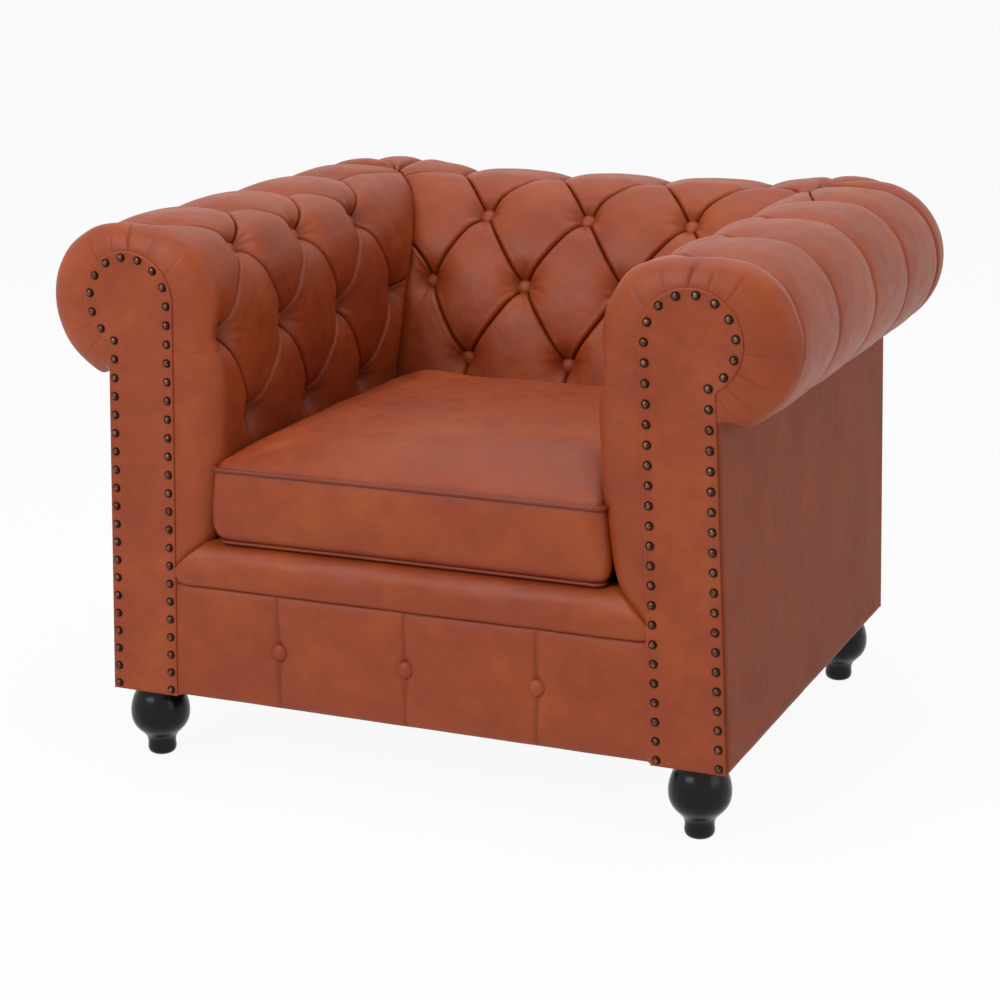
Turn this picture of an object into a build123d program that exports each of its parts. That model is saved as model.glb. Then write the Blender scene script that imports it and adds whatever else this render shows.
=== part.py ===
"""Low armchair with rolled arms, deep buttoning and a loose seat cushion.

Millimetres. X runs across the chair, the chair faces minus Y, Z is up and the
floor is z = 0. Every piece is built where it sits in the finished chair.
"""

import os
from math import acos, asin, atan2, cos, hypot, pi, radians, sin, sqrt

from build123d import *

os.makedirs("parts", exist_ok=True)

# Sizes that drive the chair
WIDTH = 1050.0
DEPTH = 900.0
HEIGHT = 750.0
SEAT_HEIGHT = 460.0
FOOT_HEIGHT = 104.0

# Rolls and scrolls
ROLL_R = 107.0
ROLL_END_ANGLE = -68.0
FACE_R = 66.5
FACE_IN = 27.5
FACE_UP = 8.0
BACK_CORE_R = 62.0
CORNER_REACH = 78.0

# Arm and back frame outlines
ARM_INNER_INSET = 180.0
ARM_SIDE_INSET = 80.0
ARM_NECK_INSET = 101.0
ARM_NECK_DROP = 51.0
BACK_FOOT_INSET = 153.0
BACK_NECK_INSET = 116.0
REAR_NECK_DROP = 43.0
BACK_HEM_INSET = 285.0
PANEL_TOP_DROP = 91.0

# Boards and rails
SKIN = 5.0
BOARD_T = 24.0
RIB_T = 18.0
RAIL_T = 28.0
RAIL_HEIGHT = 132.0
SIDE_RAIL_INSET = 127.0
TOP_RAIL = 45.0
BLOCK_LEG = 78.0
BLOCK_HEIGHT = 60.0
ARM_RIB_COUNT = 3

# Tufting
ARM_THICK = 263.0
ARM_FIRST_COLUMN = 160.0
ARM_LAST_COLUMN = 42.0
BACK_EDGE_COLUMN = 16.0
HEM_Z = 285.0
ROW_LOW_DROP = 280.0
ROW_MID_DROP = 165.0
ROW_TOP_DROP = 48.0
TUFT_SHARE = 0.56
PLEAT_SHARE = 0.30
CHANNEL_SHARE = 0.20
ROLL_FLATTEN = 0.985
NOSE_LENGTH = 60.0
BUTTON_R = 11.5
BUTTON_HEIGHT = 7.0
BUTTON_SINK = 3.0

# Seat
CUSHION_UNDER_ARM = 13.0
CUSHION_TAPER = 13.0
CUSHION_FRONT = 4.0
CUSHION_TO_BACK = 70.0
CUSHION_BOX = 104.0
CUSHION_CORNER = 34.0
CUSHION_DRAW = 5.0
COVER_T = 2.5
PIPE_R = 4.5
PIPE_PROUD = 7.0
BORDER_TOP_Z = 264.0
BORDER_SWELL = 11.0
BORDER_SEAM = 187.0
LIP_TOP_Z = 326.0
LIP_DEPTH = 38.0
DECK_UNDER_ARM = 26.0
SPRING_COUNT = 5
SPRING_PITCH = 98.0
SPRING_WIRE = 4.0
SPRING_BENDS = 19
SPRING_HALF = 32.0
CLIP_LENGTH = 22.0
CLIP_WIDTH = 14.0
CLIP_HEIGHT = 9.0
CLOTH_T = 2.0
CLOTH_SHORT = 40.0

# Skins, nails and fixings
LEATHER_T = 2.0
FACE_INSET = 5.0
NAIL_R = 5.5
NAIL_HEIGHT = 3.0
NAIL_PITCH = 26.0
NAIL_INSET = 12.0
NAIL_SHANK_R = 0.9
NAIL_SHANK = 13.0
DOWEL_R = 5.0
DOWEL_LENGTH = 56.0
SCREW_R = 2.5
SCREW_HEAD_R = 5.0
SCREW_LENGTH = 44.0

# Feet
FOOT_R = 41.0
FOOT_COLLAR_R = 31.0
FOOT_ANKLE_R = 19.5
REAR_FOOT_INSET = 127.0
REAR_FOOT_IN = 54.0
GLIDE_R = 9.0
GLIDE_T = 4.0
BOLT_R = 4.0
BOLT_LENGTH = 70.0

# Zip
ZIP_END = 65.0
ZIP_TAPE = 26.0
ZIP_TAPE_T = 1.2
ZIP_CHAIN = 6.0
ZIP_CHAIN_T = 2.0
SLIDER_LENGTH = 11.0
SLIDER_WIDTH = 10.0
SLIDER_WALL = 1.4
PULL_LENGTH = 24.0

# Clearances
SOFT_GAP = 0.3
REST_GAP = 0.3
SLIDE_GAP = 0.3
BORE_GAP = 0.2

# Places that follow from the sizes
arm_belly = WIDTH / 2 - ARM_THICK
arm_foot_in = WIDTH / 2 - ARM_INNER_INSET
arm_foot_out = WIDTH / 2 - ARM_SIDE_INSET
arm_neck_out = WIDTH / 2 - ARM_NECK_INSET
side_rail_x = WIDTH / 2 - SIDE_RAIL_INSET
rear_foot_x = WIDTH / 2 - REAR_FOOT_INSET
rear_foot_y = DEPTH / 2 - BACK_FOOT_INSET
rear_neck_y = DEPTH / 2 - BACK_NECK_INSET
rear_foot_line = rear_foot_y - REAR_FOOT_IN
back_hem_y = DEPTH / 2 - BACK_HEM_INSET
row_low_z = HEIGHT - ROW_LOW_DROP
row_mid_z = HEIGHT - ROW_MID_DROP
row_top_z = HEIGHT - ROW_TOP_DROP
cushion_half_low = arm_belly + CUSHION_UNDER_ARM
cushion_half_top = cushion_half_low - CUSHION_TAPER
cushion_rear_y = back_hem_y - CUSHION_TO_BACK
deck_half = arm_belly + DECK_UNDER_ARM
zip_length = 2 * (cushion_half_low - ZIP_END)
front_y = -DEPTH / 2
roll_x = WIDTH / 2 - ROLL_R
roll_y = DEPTH / 2 - ROLL_R
roll_z = HEIGHT - ROLL_R
face_x = roll_x - FACE_IN
face_z = roll_z + FACE_UP
corner_x = roll_x - CORNER_REACH
corner_y = roll_y - CORNER_REACH
rail_top = FOOT_HEIGHT + RAIL_HEIGHT
leather_y = front_y + NAIL_HEIGHT
board_y = leather_y + LEATHER_T
rail_y = board_y + BOARD_T
side_y = rail_y + RAIL_T
rear_rail_y = rear_foot_y - SKIN - RAIL_T
arm_end_y = corner_y - SOFT_GAP
panel_top = roll_z - PANEL_TOP_DROP
arm_first_y = front_y + ARM_FIRST_COLUMN
arm_pitch = (corner_y - ARM_LAST_COLUMN - arm_first_y) / 3
back_pitch = (arm_belly - BACK_EDGE_COLUMN) * 2 / 3
back_half = arm_belly - SOFT_GAP
cushion_z = LIP_TOP_Z + REST_GAP
edge_z = cushion_z + CUSHION_BOX
foot_y = rail_y + RAIL_T / 2
deck_y = front_y + LIP_DEPTH + REST_GAP
cloth_z = rail_top + CLIP_HEIGHT / 2 + SPRING_WIRE / 2 + REST_GAP
zip_z = cushion_z + CUSHION_BOX / 2


def keep(part, label):
    """Name a finished piece and write it out."""
    part.label = label
    export_step(part, f"parts/{label}.step")


def keep_pair(part, label):
    """Write the right-hand piece and its left-hand twin."""
    keep(part, f"right_{label}")
    with BuildPart() as twin:
        add(mirror(part, about=Plane.YZ, mode=Mode.PRIVATE))
    keep(twin.part, f"left_{label}")


def along(start, end, share):
    """The point a share of the way from start to end."""
    return tuple(a + (b - a) * share for a, b in zip(start, end))


def touch(point, centre, radius):
    """Where a line from the point touches the near-seat side of a circle."""
    spread = acos(radius / hypot(centre[0] - point[0], centre[1] - point[1]))
    turn = atan2(point[1] - centre[1], point[0] - centre[0]) - spread
    return (centre[0] + radius * cos(turn), centre[1] + radius * sin(turn))


def ring(centre, radius, angle):
    """A point on a circle, the angle in degrees from the outward side."""
    return (
        centre[0] + radius * cos(radians(angle)),
        centre[1] + radius * sin(radians(angle)),
    )


def dome(radius, low, high):
    """A point on the ball cap that rises from the rim to the middle."""
    ball = (radius ** 2 + (high - low) ** 2) / (2 * (high - low))
    turn = asin(radius / ball) / 2
    return (ball * sin(turn), high - ball + ball * cos(turn))


def side_x(z):
    """Outer face of the outside arm board at a height."""
    rise = (z - FOOT_HEIGHT) / (face_z - ARM_NECK_DROP - FOOT_HEIGHT)
    return arm_foot_out + (arm_neck_out - arm_foot_out) * rise


def rear_line(z):
    """Outer face of the outside back board at a height."""
    rise = (z - FOOT_HEIGHT) / (roll_z - REAR_NECK_DROP - FOOT_HEIGHT)
    return rear_foot_y + (rear_neck_y - rear_foot_y) * rise


# Outlines of the frame, drawn flat
arm_foot = (arm_foot_in, FOOT_HEIGHT)
arm_centre = (face_x, face_z)
arm_touch = touch(arm_foot, arm_centre, FACE_R)
back_hem = (back_hem_y, HEM_Z)
back_centre = (roll_y, roll_z)
back_touch = touch(back_hem, back_centre, BACK_CORE_R)


def arm_in(z):
    """Inner edge of the arm frame at a height."""
    return along(arm_foot, arm_touch, (z - arm_foot[1]) / (arm_touch[1] - arm_foot[1]))[0]


def back_in(z):
    """Front edge of the back frame at a height."""
    return along(back_hem, back_touch, (z - back_hem[1]) / (back_touch[1] - back_hem[1]))[0]


arm_lean = atan2(arm_touch[0] - arm_foot[0], arm_touch[1] - arm_foot[1])
back_lean = atan2(back_touch[0] - back_hem[0], back_touch[1] - back_hem[1])


def arm_outline(inset):
    """Keyhole outline of an arm front board, drawn in by an inset."""
    low = FOOT_HEIGHT + inset
    high = face_z - ARM_NECK_DROP
    corners = [
        (arm_in(low) + inset / cos(arm_lean), low),
        (side_x(low) - inset, low),
        (side_x(high) - inset, high),
        arm_centre,
        along(arm_centre, arm_touch, 1 - inset / FACE_R),
    ]
    with BuildSketch() as shape:
        with BuildLine():
            Polyline(*corners, close=True)
        make_face()
        with Locations(arm_centre):
            Circle(FACE_R - inset)
    return shape.sketch


def back_outline(inset):
    """Outline of a back rib standing on the rear rail, drawn in by an inset."""
    high = roll_z - REAR_NECK_DROP
    corners = [
        (back_hem_y + inset / cos(back_lean), HEM_Z),
        (rear_rail_y, rail_top),
        (rear_line(rail_top) - inset, rail_top),
        (rear_line(high) - inset, high),
        back_centre,
        along(back_centre, back_touch, 1 - inset / BACK_CORE_R),
    ]
    with BuildSketch() as shape:
        with BuildLine():
            Polyline(*corners, close=True)
        make_face()
        with Locations(back_centre):
            Circle(BACK_CORE_R - inset)
    return shape.sketch


# Base frame
with BuildPart() as front_rail:
    with Locations((0, rail_y, FOOT_HEIGHT)):
        Box(
            2 * (side_x(rail_top) - SKIN - REST_GAP), RAIL_T, RAIL_HEIGHT,
            align=(Align.CENTER, Align.MIN, Align.MIN),
        )
keep(front_rail.part, "front_rail")

with BuildPart() as rear_rail:
    with Locations((0, rear_rail_y, FOOT_HEIGHT)):
        Box(
            2 * (side_x(rail_top) - SKIN - REST_GAP), RAIL_T, RAIL_HEIGHT,
            align=(Align.CENTER, Align.MIN, Align.MIN),
        )
keep(rear_rail.part, "rear_rail")

with BuildPart() as side_rail:
    with Locations((side_rail_x, side_y, FOOT_HEIGHT)):
        Box(
            RAIL_T, rear_rail_y - side_y, RAIL_HEIGHT,
            align=(Align.CENTER, Align.MIN, Align.MIN),
        )
keep_pair(side_rail.part, "side_rail")

block_x = side_rail_x - RAIL_T / 2
block_z = FOOT_HEIGHT + RAIL_HEIGHT / 4
with BuildPart() as corner_blocks:
    for side in (-1, 1):
        for y, turn in ((side_y, 1), (rear_rail_y, -1)):
            with BuildSketch(Plane.XY.offset(block_z)):
                with BuildLine():
                    Polyline(
                        (side * block_x, y),
                        (side * (block_x - BLOCK_LEG), y),
                        (side * block_x, y + turn * BLOCK_LEG),
                        close=True,
                    )
                make_face()
            extrude(amount=BLOCK_HEIGHT)
keep(corner_blocks.part, "corner_blocks")

# One screw through each block into the rail beside it
screw_z = block_z + BLOCK_HEIGHT / 2
with BuildPart() as frame_screws:
    for side in (-1, 1):
        for y, turn in ((side_y, 1), (rear_rail_y, -1)):
            x = side * (block_x - BLOCK_LEG / 3)
            seat = y + turn * (BLOCK_LEG * 2 / 3)
            with Locations(Plane((x, seat, screw_z), z_dir=(0, -turn, 0))):
                Cylinder(
                    SCREW_R, SCREW_LENGTH + RAIL_T / 2,
                    align=(Align.CENTER, Align.CENTER, Align.MIN),
                )
                Cylinder(
                    SCREW_HEAD_R, NAIL_HEIGHT,
                    align=(Align.CENTER, Align.CENTER, Align.MAX),
                )
keep(frame_screws.part, "frame_screws")

with BuildPart() as frame_dowels:
    for side in (-1, 1):
        for y in (side_y, rear_rail_y):
            for share in (0.45, 0.8):
                z = FOOT_HEIGHT + RAIL_HEIGHT * share
                with Locations(Plane((side * side_rail_x, y, z), z_dir=(0, 1, 0))):
                    Cylinder(DOWEL_R, DOWEL_LENGTH - RAIL_T / 2)
keep(frame_dowels.part, "frame_dowels")

# Arm frames, built on the right
with BuildPart() as arm_front_board:
    with BuildSketch(Plane.XZ.offset(-board_y)):
        add(arm_outline(0))
    extrude(amount=-BOARD_T)
keep_pair(arm_front_board.part, "arm_front_board")

with BuildPart() as arm_top_rail:
    with Locations((face_x, rail_y, face_z)):
        Box(
            TOP_RAIL, roll_y + TOP_RAIL / 2 - rail_y, TOP_RAIL,
            align=(Align.CENTER, Align.MIN, Align.CENTER),
        )
keep_pair(arm_top_rail.part, "arm_top_rail")

rib_step = (rear_rail_y - rail_y) / ARM_RIB_COUNT
with BuildPart() as arm_ribs:
    for index in range(ARM_RIB_COUNT):
        rib_y = rail_y + rib_step * (index + 1) - RIB_T
        with BuildSketch(Plane.XZ.offset(-rib_y)):
            add(arm_outline(SKIN))
            with Locations((face_x, rail_top)):
                Rectangle(
                    WIDTH, HEIGHT, mode=Mode.SUBTRACT,
                    align=(Align.CENTER, Align.MAX),
                )
            with Locations(arm_centre):
                Rectangle(TOP_RAIL, TOP_RAIL, mode=Mode.SUBTRACT)
        extrude(amount=-RIB_T)
keep_pair(arm_ribs.part, "arm_ribs")

with BuildPart() as arm_inner_panel:
    with BuildSketch(Plane.XZ.offset(-rail_y)):
        with BuildLine():
            Polyline(
                (arm_in(HEM_Z), HEM_Z),
                (arm_in(HEM_Z) + SKIN, HEM_Z),
                (arm_touch[0] + SKIN, arm_touch[1]),
                arm_touch,
                close=True,
            )
        make_face()
    extrude(amount=-(arm_end_y - rail_y))
keep_pair(arm_inner_panel.part, "arm_inner_panel")

with BuildPart() as arm_roll_former:
    with BuildSketch(Plane.XZ.offset(-rail_y)):
        with Locations(arm_centre):
            Circle(FACE_R)
            Circle(FACE_R - SKIN, mode=Mode.SUBTRACT)
        with Locations((face_x, face_z)):
            Rectangle(
                WIDTH, HEIGHT, mode=Mode.SUBTRACT,
                align=(Align.CENTER, Align.MAX),
            )
    extrude(amount=-(arm_end_y - rail_y))
keep_pair(arm_roll_former.part, "arm_roll_former")


def side_slab(inside, outside, y_start):
    """Low and high flat outlines of a skin that leans with the arm side."""
    faces = []
    for z in (FOOT_HEIGHT, panel_top):
        rear = rear_line(z)
        with BuildSketch(Plane.XY.offset(z)) as face:
            with BuildLine():
                Polyline(
                    (side_x(z) + inside, y_start),
                    (side_x(z) + outside, y_start),
                    (side_x(z) + outside, rear),
                    (side_x(z) + inside, rear),
                    close=True,
                )
            make_face()
        faces.append(face.sketch)
    return faces


with BuildPart() as outside_arm_board:
    loft(side_slab(-SKIN, 0, rail_y), ruled=True)
keep_pair(outside_arm_board.part, "outside_arm_board")

with BuildPart() as outside_arm_leather:
    loft(side_slab(0, LEATHER_T, board_y), ruled=True)
keep_pair(outside_arm_leather.part, "outside_arm_leather")

# Back frame
with BuildPart() as back_ribs:
    rib_reach = back_half - RIB_T
    for rib_x in (-rib_reach, -SPRING_PITCH / 2, SPRING_PITCH / 2, rib_reach):
        with BuildSketch(Plane.YZ.offset(rib_x - RIB_T / 2)):
            add(back_outline(SKIN))
            with Locations((roll_y, face_z)):
                Rectangle(TOP_RAIL, TOP_RAIL, mode=Mode.SUBTRACT)
        extrude(amount=RIB_T)
keep(back_ribs.part, "back_ribs")

with BuildPart() as back_top_rail:
    with Locations((0, roll_y, face_z)):
        Box(2 * (face_x - TOP_RAIL / 2), TOP_RAIL, TOP_RAIL)
keep(back_top_rail.part, "back_top_rail")

with BuildPart() as back_inner_panel:
    with BuildSketch(Plane.YZ.offset(-back_half)):
        with BuildLine():
            Polyline(
                back_hem,
                (back_hem[0] + SKIN / cos(back_lean), back_hem[1]),
                (back_touch[0] + SKIN / cos(back_lean), back_touch[1]),
                back_touch,
                close=True,
            )
        make_face()
        with Locations(back_centre):
            Circle(BACK_CORE_R, mode=Mode.SUBTRACT)
    extrude(amount=2 * back_half)
keep(back_inner_panel.part, "back_inner_panel")

with BuildPart() as back_roll_former:
    with BuildSketch(Plane.YZ.offset(-back_half)):
        with Locations(back_centre):
            Circle(BACK_CORE_R)
            Circle(BACK_CORE_R - SKIN, mode=Mode.SUBTRACT)
        with Locations((roll_y, back_touch[1])):
            Rectangle(
                WIDTH, HEIGHT, mode=Mode.SUBTRACT,
                align=(Align.CENTER, Align.MAX),
            )
    extrude(amount=2 * back_half)
keep(back_roll_former.part, "back_roll_former")


def rear_slab(inside, outside, trim):
    """Low and high flat outlines of a skin that leans with the back."""
    faces = []
    for z in (FOOT_HEIGHT, panel_top):
        half = side_x(z) - trim
        with BuildSketch(Plane.XY.offset(z)) as face:
            with BuildLine():
                Polyline(
                    (-half, rear_line(z) + inside),
                    (half, rear_line(z) + inside),
                    (half, rear_line(z) + outside),
                    (-half, rear_line(z) + outside),
                    close=True,
                )
            make_face()
        faces.append(face.sketch)
    return faces


with BuildPart() as outside_back_board:
    loft(rear_slab(-SKIN, 0, SKIN + REST_GAP), ruled=True)
keep(outside_back_board.part, "outside_back_board")

with BuildPart() as outside_back_leather:
    loft(rear_slab(0, LEATHER_T, 0), ruled=True)
keep(outside_back_leather.part, "outside_back_leather")

# Tufted pads. A spoke runs from a root on the frame to a tip on the leather.
# A section through a pad draws each tip in by a share of its spoke.
roll_centre = (roll_x, roll_z)
core_r = FACE_R + SOFT_GAP
back_r = BACK_CORE_R + SOFT_GAP


def arm_root(z):
    """Root of an arm spoke on the flat inner side."""
    return (arm_in(z) - SOFT_GAP, z)


def back_root(z):
    """Root of a back spoke on the flat front side."""
    return (back_in(z) - SOFT_GAP, z)


arm_spokes = [
    ("hem", arm_root(HEM_Z + 27), (arm_belly + 38, HEM_Z + 27)),
    ("hem", arm_root(HEM_Z + 65), (arm_belly + 21, HEM_Z + 65)),
    ("row", arm_root(row_low_z), (arm_belly + 6, row_low_z)),
    ("pleat", arm_root(row_low_z + 57), (arm_belly + 2, row_low_z + 57)),
    ("mid_row", arm_root(row_mid_z), (arm_belly, row_mid_z)),
    ("pleat", ring(arm_centre, core_r, 178), (arm_belly + 3, row_mid_z + 58)),
    ("row", ring(arm_centre, core_r, 146), (arm_belly + 20, row_top_z)),
    ("half", ring(arm_centre, core_r, 128), (arm_belly + 43, row_top_z + 28)),
    ("roll", ring(arm_centre, core_r, 108), (arm_belly + 78, HEIGHT - 6)),
    ("half_roll", ring(arm_centre, core_r, 96), (roll_x - 38, HEIGHT - 1)),
    ("roll", ring(arm_centre, core_r, 82), ring(roll_centre, ROLL_R, 90)),
    ("half_roll", ring(arm_centre, core_r, 45), ring(roll_centre, ROLL_R, 45)),
    ("roll", ring(arm_centre, core_r, 2), ring(roll_centre, ROLL_R, 0)),
    ("half_roll", ring(arm_centre, core_r, -22), ring(roll_centre, ROLL_R, ROLL_END_ANGLE / 2)),
    ("roll", ring(arm_centre, core_r, -42), ring(roll_centre, ROLL_R, ROLL_END_ANGLE)),
]
arm_hem = arm_root(HEM_Z)
arm_neck = ring(arm_centre, core_r, -56)
arm_tuck = (side_x(panel_top) + LEATHER_T + SOFT_GAP, panel_top + 6)

back_spokes = [
    ("hem", back_root(HEM_Z + 27), (back_hem_y - 47, HEM_Z + 30)),
    ("hem", back_root(HEM_Z + 65), (back_hem_y - 59, HEM_Z + 75)),
    ("row", back_root(row_low_z + 30), (back_hem_y - 52, row_low_z)),
    ("pleat", back_root(row_low_z + 82), (back_hem_y - 41, row_low_z + 57)),
    ("mid_row", back_root(row_mid_z + 22), (back_hem_y - 25, row_mid_z)),
    ("pleat", back_root(row_mid_z + 62), (back_hem_y - 2, row_mid_z + 56)),
    ("row", ring(back_centre, back_r, 152), (back_hem_y + 36, row_top_z - 6)),
    ("half", ring(back_centre, back_r, 134), (back_hem_y + 64, row_top_z + 24)),
    ("roll", ring(back_centre, back_r, 116), (back_hem_y + 101, HEIGHT - 9)),
    ("half_roll", ring(back_centre, back_r, 102), (roll_y - 38, HEIGHT - 2)),
    ("roll", ring(back_centre, back_r, 88), ring(back_centre, ROLL_R, 90)),
    ("half_roll", ring(back_centre, back_r, 45), ring(back_centre, ROLL_R, 45)),
    ("roll", ring(back_centre, back_r, 2), ring(back_centre, ROLL_R, 0)),
    ("half_roll", ring(back_centre, back_r, -26), ring(back_centre, ROLL_R, ROLL_END_ANGLE / 2)),
    ("roll", ring(back_centre, back_r, -52), ring(back_centre, ROLL_R, ROLL_END_ANGLE)),
]
back_hem_root = back_root(HEM_Z)
back_neck = ring(back_centre, back_r, -70)
back_tuck = (rear_line(panel_top) + LEATHER_T + SOFT_GAP, panel_top + 6)


def tuft_share(kind, phase):
    """Share of a spoke that is filled. Phase 0 is a button column, 1 midway."""
    if kind == "row":
        return 1 - TUFT_SHARE * (1 - phase) ** 1.6
    if kind == "mid_row":
        return 1 - TUFT_SHARE * phase ** 1.6
    if kind == "pleat":
        return 1 - PLEAT_SHARE * (1 - abs(2 * phase - 1)) - PLEAT_SHARE / 4
    if kind == "half":
        return 1 - (TUFT_SHARE + CHANNEL_SHARE) / 2 * (1 - phase) ** 2
    if kind == "roll":
        return 1 - CHANNEL_SHARE * (1 - phase) ** 2
    if kind == "half_roll":
        return ROLL_FLATTEN - CHANNEL_SHARE * (1 - phase) ** 2
    return 1.0


def phase_at(place, first, pitch):
    """0 on a button column, 1 halfway between two."""
    turns = (place - first) / pitch
    return 2 * abs(turns - round(turns))


def tips(spokes, phase, fullness):
    """Leather points of one section."""
    return [
        along(root, tip, tuft_share(kind, phase) * fullness)
        for kind, root, tip in spokes
    ]


def pad_wire(points, hem, tuck, neck, centre, radius, touch_angle):
    """One closed section: leather side, then back along the frame."""
    Polyline(hem, *points[:7])
    for index in (6, 8, 10, 12):
        ThreePointArc(points[index], points[index + 1], points[index + 2])
    Polyline(points[14], tuck, neck)
    middle = (ring(centre, radius, 0), ring(centre, radius, 90))
    ThreePointArc(neck, middle[0], ring(centre, radius, 40))
    ThreePointArc(ring(centre, radius, 40), middle[1], ring(centre, radius, touch_angle))
    Line(ring(centre, radius, touch_angle), hem)


def angle_of(point, centre):
    """Angle of a point about a centre, in degrees."""
    return atan2(point[1] - centre[1], point[0] - centre[0]) * 180 / pi % 360


arm_turn = angle_of(arm_touch, arm_centre)
back_turn = angle_of(back_touch, back_centre)

# Arm pad stations: a rounded nose at the front, then four to each tuft
nose = [(0, 0.16), (5, 0.42), (15, 0.68), (32, 0.88), (NOSE_LENGTH, 1.0)]
arm_stations = [(leather_y + t, 1.0, full) for t, full in nose]
quarter = arm_pitch / 4
y = arm_first_y - 2 * quarter
while y < arm_end_y - quarter / 2:
    arm_stations.append((y, phase_at(y, arm_first_y, arm_pitch), 1.0))
    y += quarter
arm_stations.append((arm_end_y, 0.5, 0.97))

arm_columns = [arm_first_y + arm_pitch * k for k in range(4)]
arm_places = []
for column in arm_columns:
    arm_places.append((6, column))
    if column + arm_pitch < arm_end_y:
        arm_places.append((2, column))
    arm_places.append((4, column - arm_pitch / 2))


def seat_of(spokes, index):
    """Floor and outward direction of a buttoned tip."""
    kind, root, tip = spokes[index]
    reach = hypot(tip[0] - root[0], tip[1] - root[1])
    out = ((tip[0] - root[0]) / reach, (tip[1] - root[1]) / reach)
    floor = along(root, tip, 1 - TUFT_SHARE - BUTTON_SINK / reach)
    return floor, out


def arm_seat(index, column):
    """Plane on a button's floor in the arm pad."""
    floor, out = seat_of(arm_spokes, index)
    return Plane((floor[0], column, floor[1]), x_dir=(0, 1, 0), z_dir=(out[0], 0, out[1]))


def back_seat(index, column):
    """Plane on a button's floor in the back pad."""
    floor, out = seat_of(back_spokes, index)
    return Plane((column, floor[0], floor[1]), x_dir=(1, 0, 0), z_dir=(0, out[0], out[1]))


with BuildPart() as arm_pad:
    for y, phase, full in arm_stations:
        with BuildSketch(Plane.XZ.offset(-y)):
            with BuildLine():
                pad_wire(
                    tips(arm_spokes, phase, full), arm_hem, arm_tuck, arm_neck,
                    arm_centre, core_r, arm_turn,
                )
            make_face()
    loft(ruled=True)
    for index, column in arm_places:
        with Locations(arm_seat(index, column)):
            Cylinder(
                BUTTON_R + SOFT_GAP, arm_pitch / 2, mode=Mode.SUBTRACT,
                align=(Align.CENTER, Align.CENTER, Align.MIN),
            )
keep_pair(arm_pad.part, "arm_pad")

with BuildPart() as button:
    with BuildSketch(Plane.XZ):
        with BuildLine():
            Line((0, SOFT_GAP), (BUTTON_R, SOFT_GAP))
            Line((BUTTON_R, SOFT_GAP), (BUTTON_R, BUTTON_HEIGHT / 3))
            ThreePointArc(
                (BUTTON_R, BUTTON_HEIGHT / 3),
                dome(BUTTON_R, BUTTON_HEIGHT / 3, BUTTON_HEIGHT),
                (0, BUTTON_HEIGHT),
            )
            Line((0, BUTTON_HEIGHT), (0, SOFT_GAP))
        make_face()
    revolve(axis=Axis.Z)

with BuildPart() as arm_buttons:
    for index, column in arm_places:
        with Locations(arm_seat(index, column)):
            add(button.part)
keep_pair(arm_buttons.part, "arm_buttons")

back_columns = [back_pitch * k for k in (-1, 0, 1)]
back_places = []
for column in back_columns:
    back_places.append((6, column))
    back_places.append((2, column))
for k in (-1.5, -0.5, 0.5, 1.5):
    back_places.append((4, back_pitch * k))

back_stations = [(-back_half, 0.9, 0.9)]
step = -6
while step <= 6:
    x = step * back_pitch / 4
    if abs(x) < back_half:
        back_stations.append((x, phase_at(x, 0, back_pitch), 1.0))
    step += 1
back_stations.append((back_half, 0.9, 0.9))

with BuildPart() as back_pad:
    for x, phase, full in back_stations:
        with BuildSketch(Plane.YZ.offset(x)):
            with BuildLine():
                pad_wire(
                    tips(back_spokes, phase, full), back_hem_root, back_tuck, back_neck,
                    back_centre, back_r, back_turn,
                )
            make_face()
    loft(ruled=True)
    for index, column in back_places:
        with Locations(back_seat(index, column)):
            Cylinder(
                BUTTON_R + SOFT_GAP, back_pitch / 2, mode=Mode.SUBTRACT,
                align=(Align.CENTER, Align.CENTER, Align.MIN),
            )
keep(back_pad.part, "back_pad")

with BuildPart() as back_buttons:
    for index, column in back_places:
        with Locations(back_seat(index, column)):
            add(button.part)
keep(back_buttons.part, "back_buttons")

# Rear corners: the roll turns from the arm to the back about an upright line
corner_top = HEIGHT - 9


def corner_wire(start):
    """Section of the corner roll, measured outward from the turning line."""
    at = start + CORNER_REACH
    Polyline(
        (at - 2, panel_top + 18),
        (start, panel_top + 40),
        (start, corner_top),
    )
    ThreePointArc((start, corner_top), (at - 38, HEIGHT - 2), (at, HEIGHT))
    ThreePointArc(
        (at, HEIGHT), ring((at, roll_z), ROLL_R, 45), ring((at, roll_z), ROLL_R, 0),
    )
    ThreePointArc(
        ring((at, roll_z), ROLL_R, 0),
        ring((at, roll_z), ROLL_R, ROLL_END_ANGLE / 2),
        ring((at, roll_z), ROLL_R, ROLL_END_ANGLE),
    )
    Polyline(
        ring((at, roll_z), ROLL_R, ROLL_END_ANGLE),
        (at + 34, panel_top + 8),
        (at - 2, panel_top + 18),
    )


corner_axis = Axis((corner_x, corner_y, 0), (0, 0, 1))
with BuildPart() as corner_pad:
    with BuildSketch(Plane.XZ.offset(-corner_y)):
        with BuildLine():
            corner_wire(corner_x)
        make_face()
    revolve(axis=corner_axis, revolution_arc=90)
    with BuildSketch(Plane.YZ.offset(back_half + SOFT_GAP)):
        with BuildLine():
            corner_wire(corner_y)
        make_face()
    extrude(amount=corner_x - back_half - SOFT_GAP)
    with Locations((face_x, roll_y + TOP_RAIL / 2 + SOFT_GAP, face_z)):
        Box(
            TOP_RAIL + 2 * SOFT_GAP, DEPTH / 2, TOP_RAIL + 2 * SOFT_GAP,
            mode=Mode.SUBTRACT, align=(Align.CENTER, Align.MAX, Align.CENTER),
        )
    with Locations((face_x, roll_y, face_z)):
        Box(
            WIDTH / 2, TOP_RAIL + 2 * SOFT_GAP, TOP_RAIL + 2 * SOFT_GAP,
            mode=Mode.SUBTRACT, align=(Align.MAX, Align.CENTER, Align.CENTER),
        )
keep_pair(corner_pad.part, "corner_pad")

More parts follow.
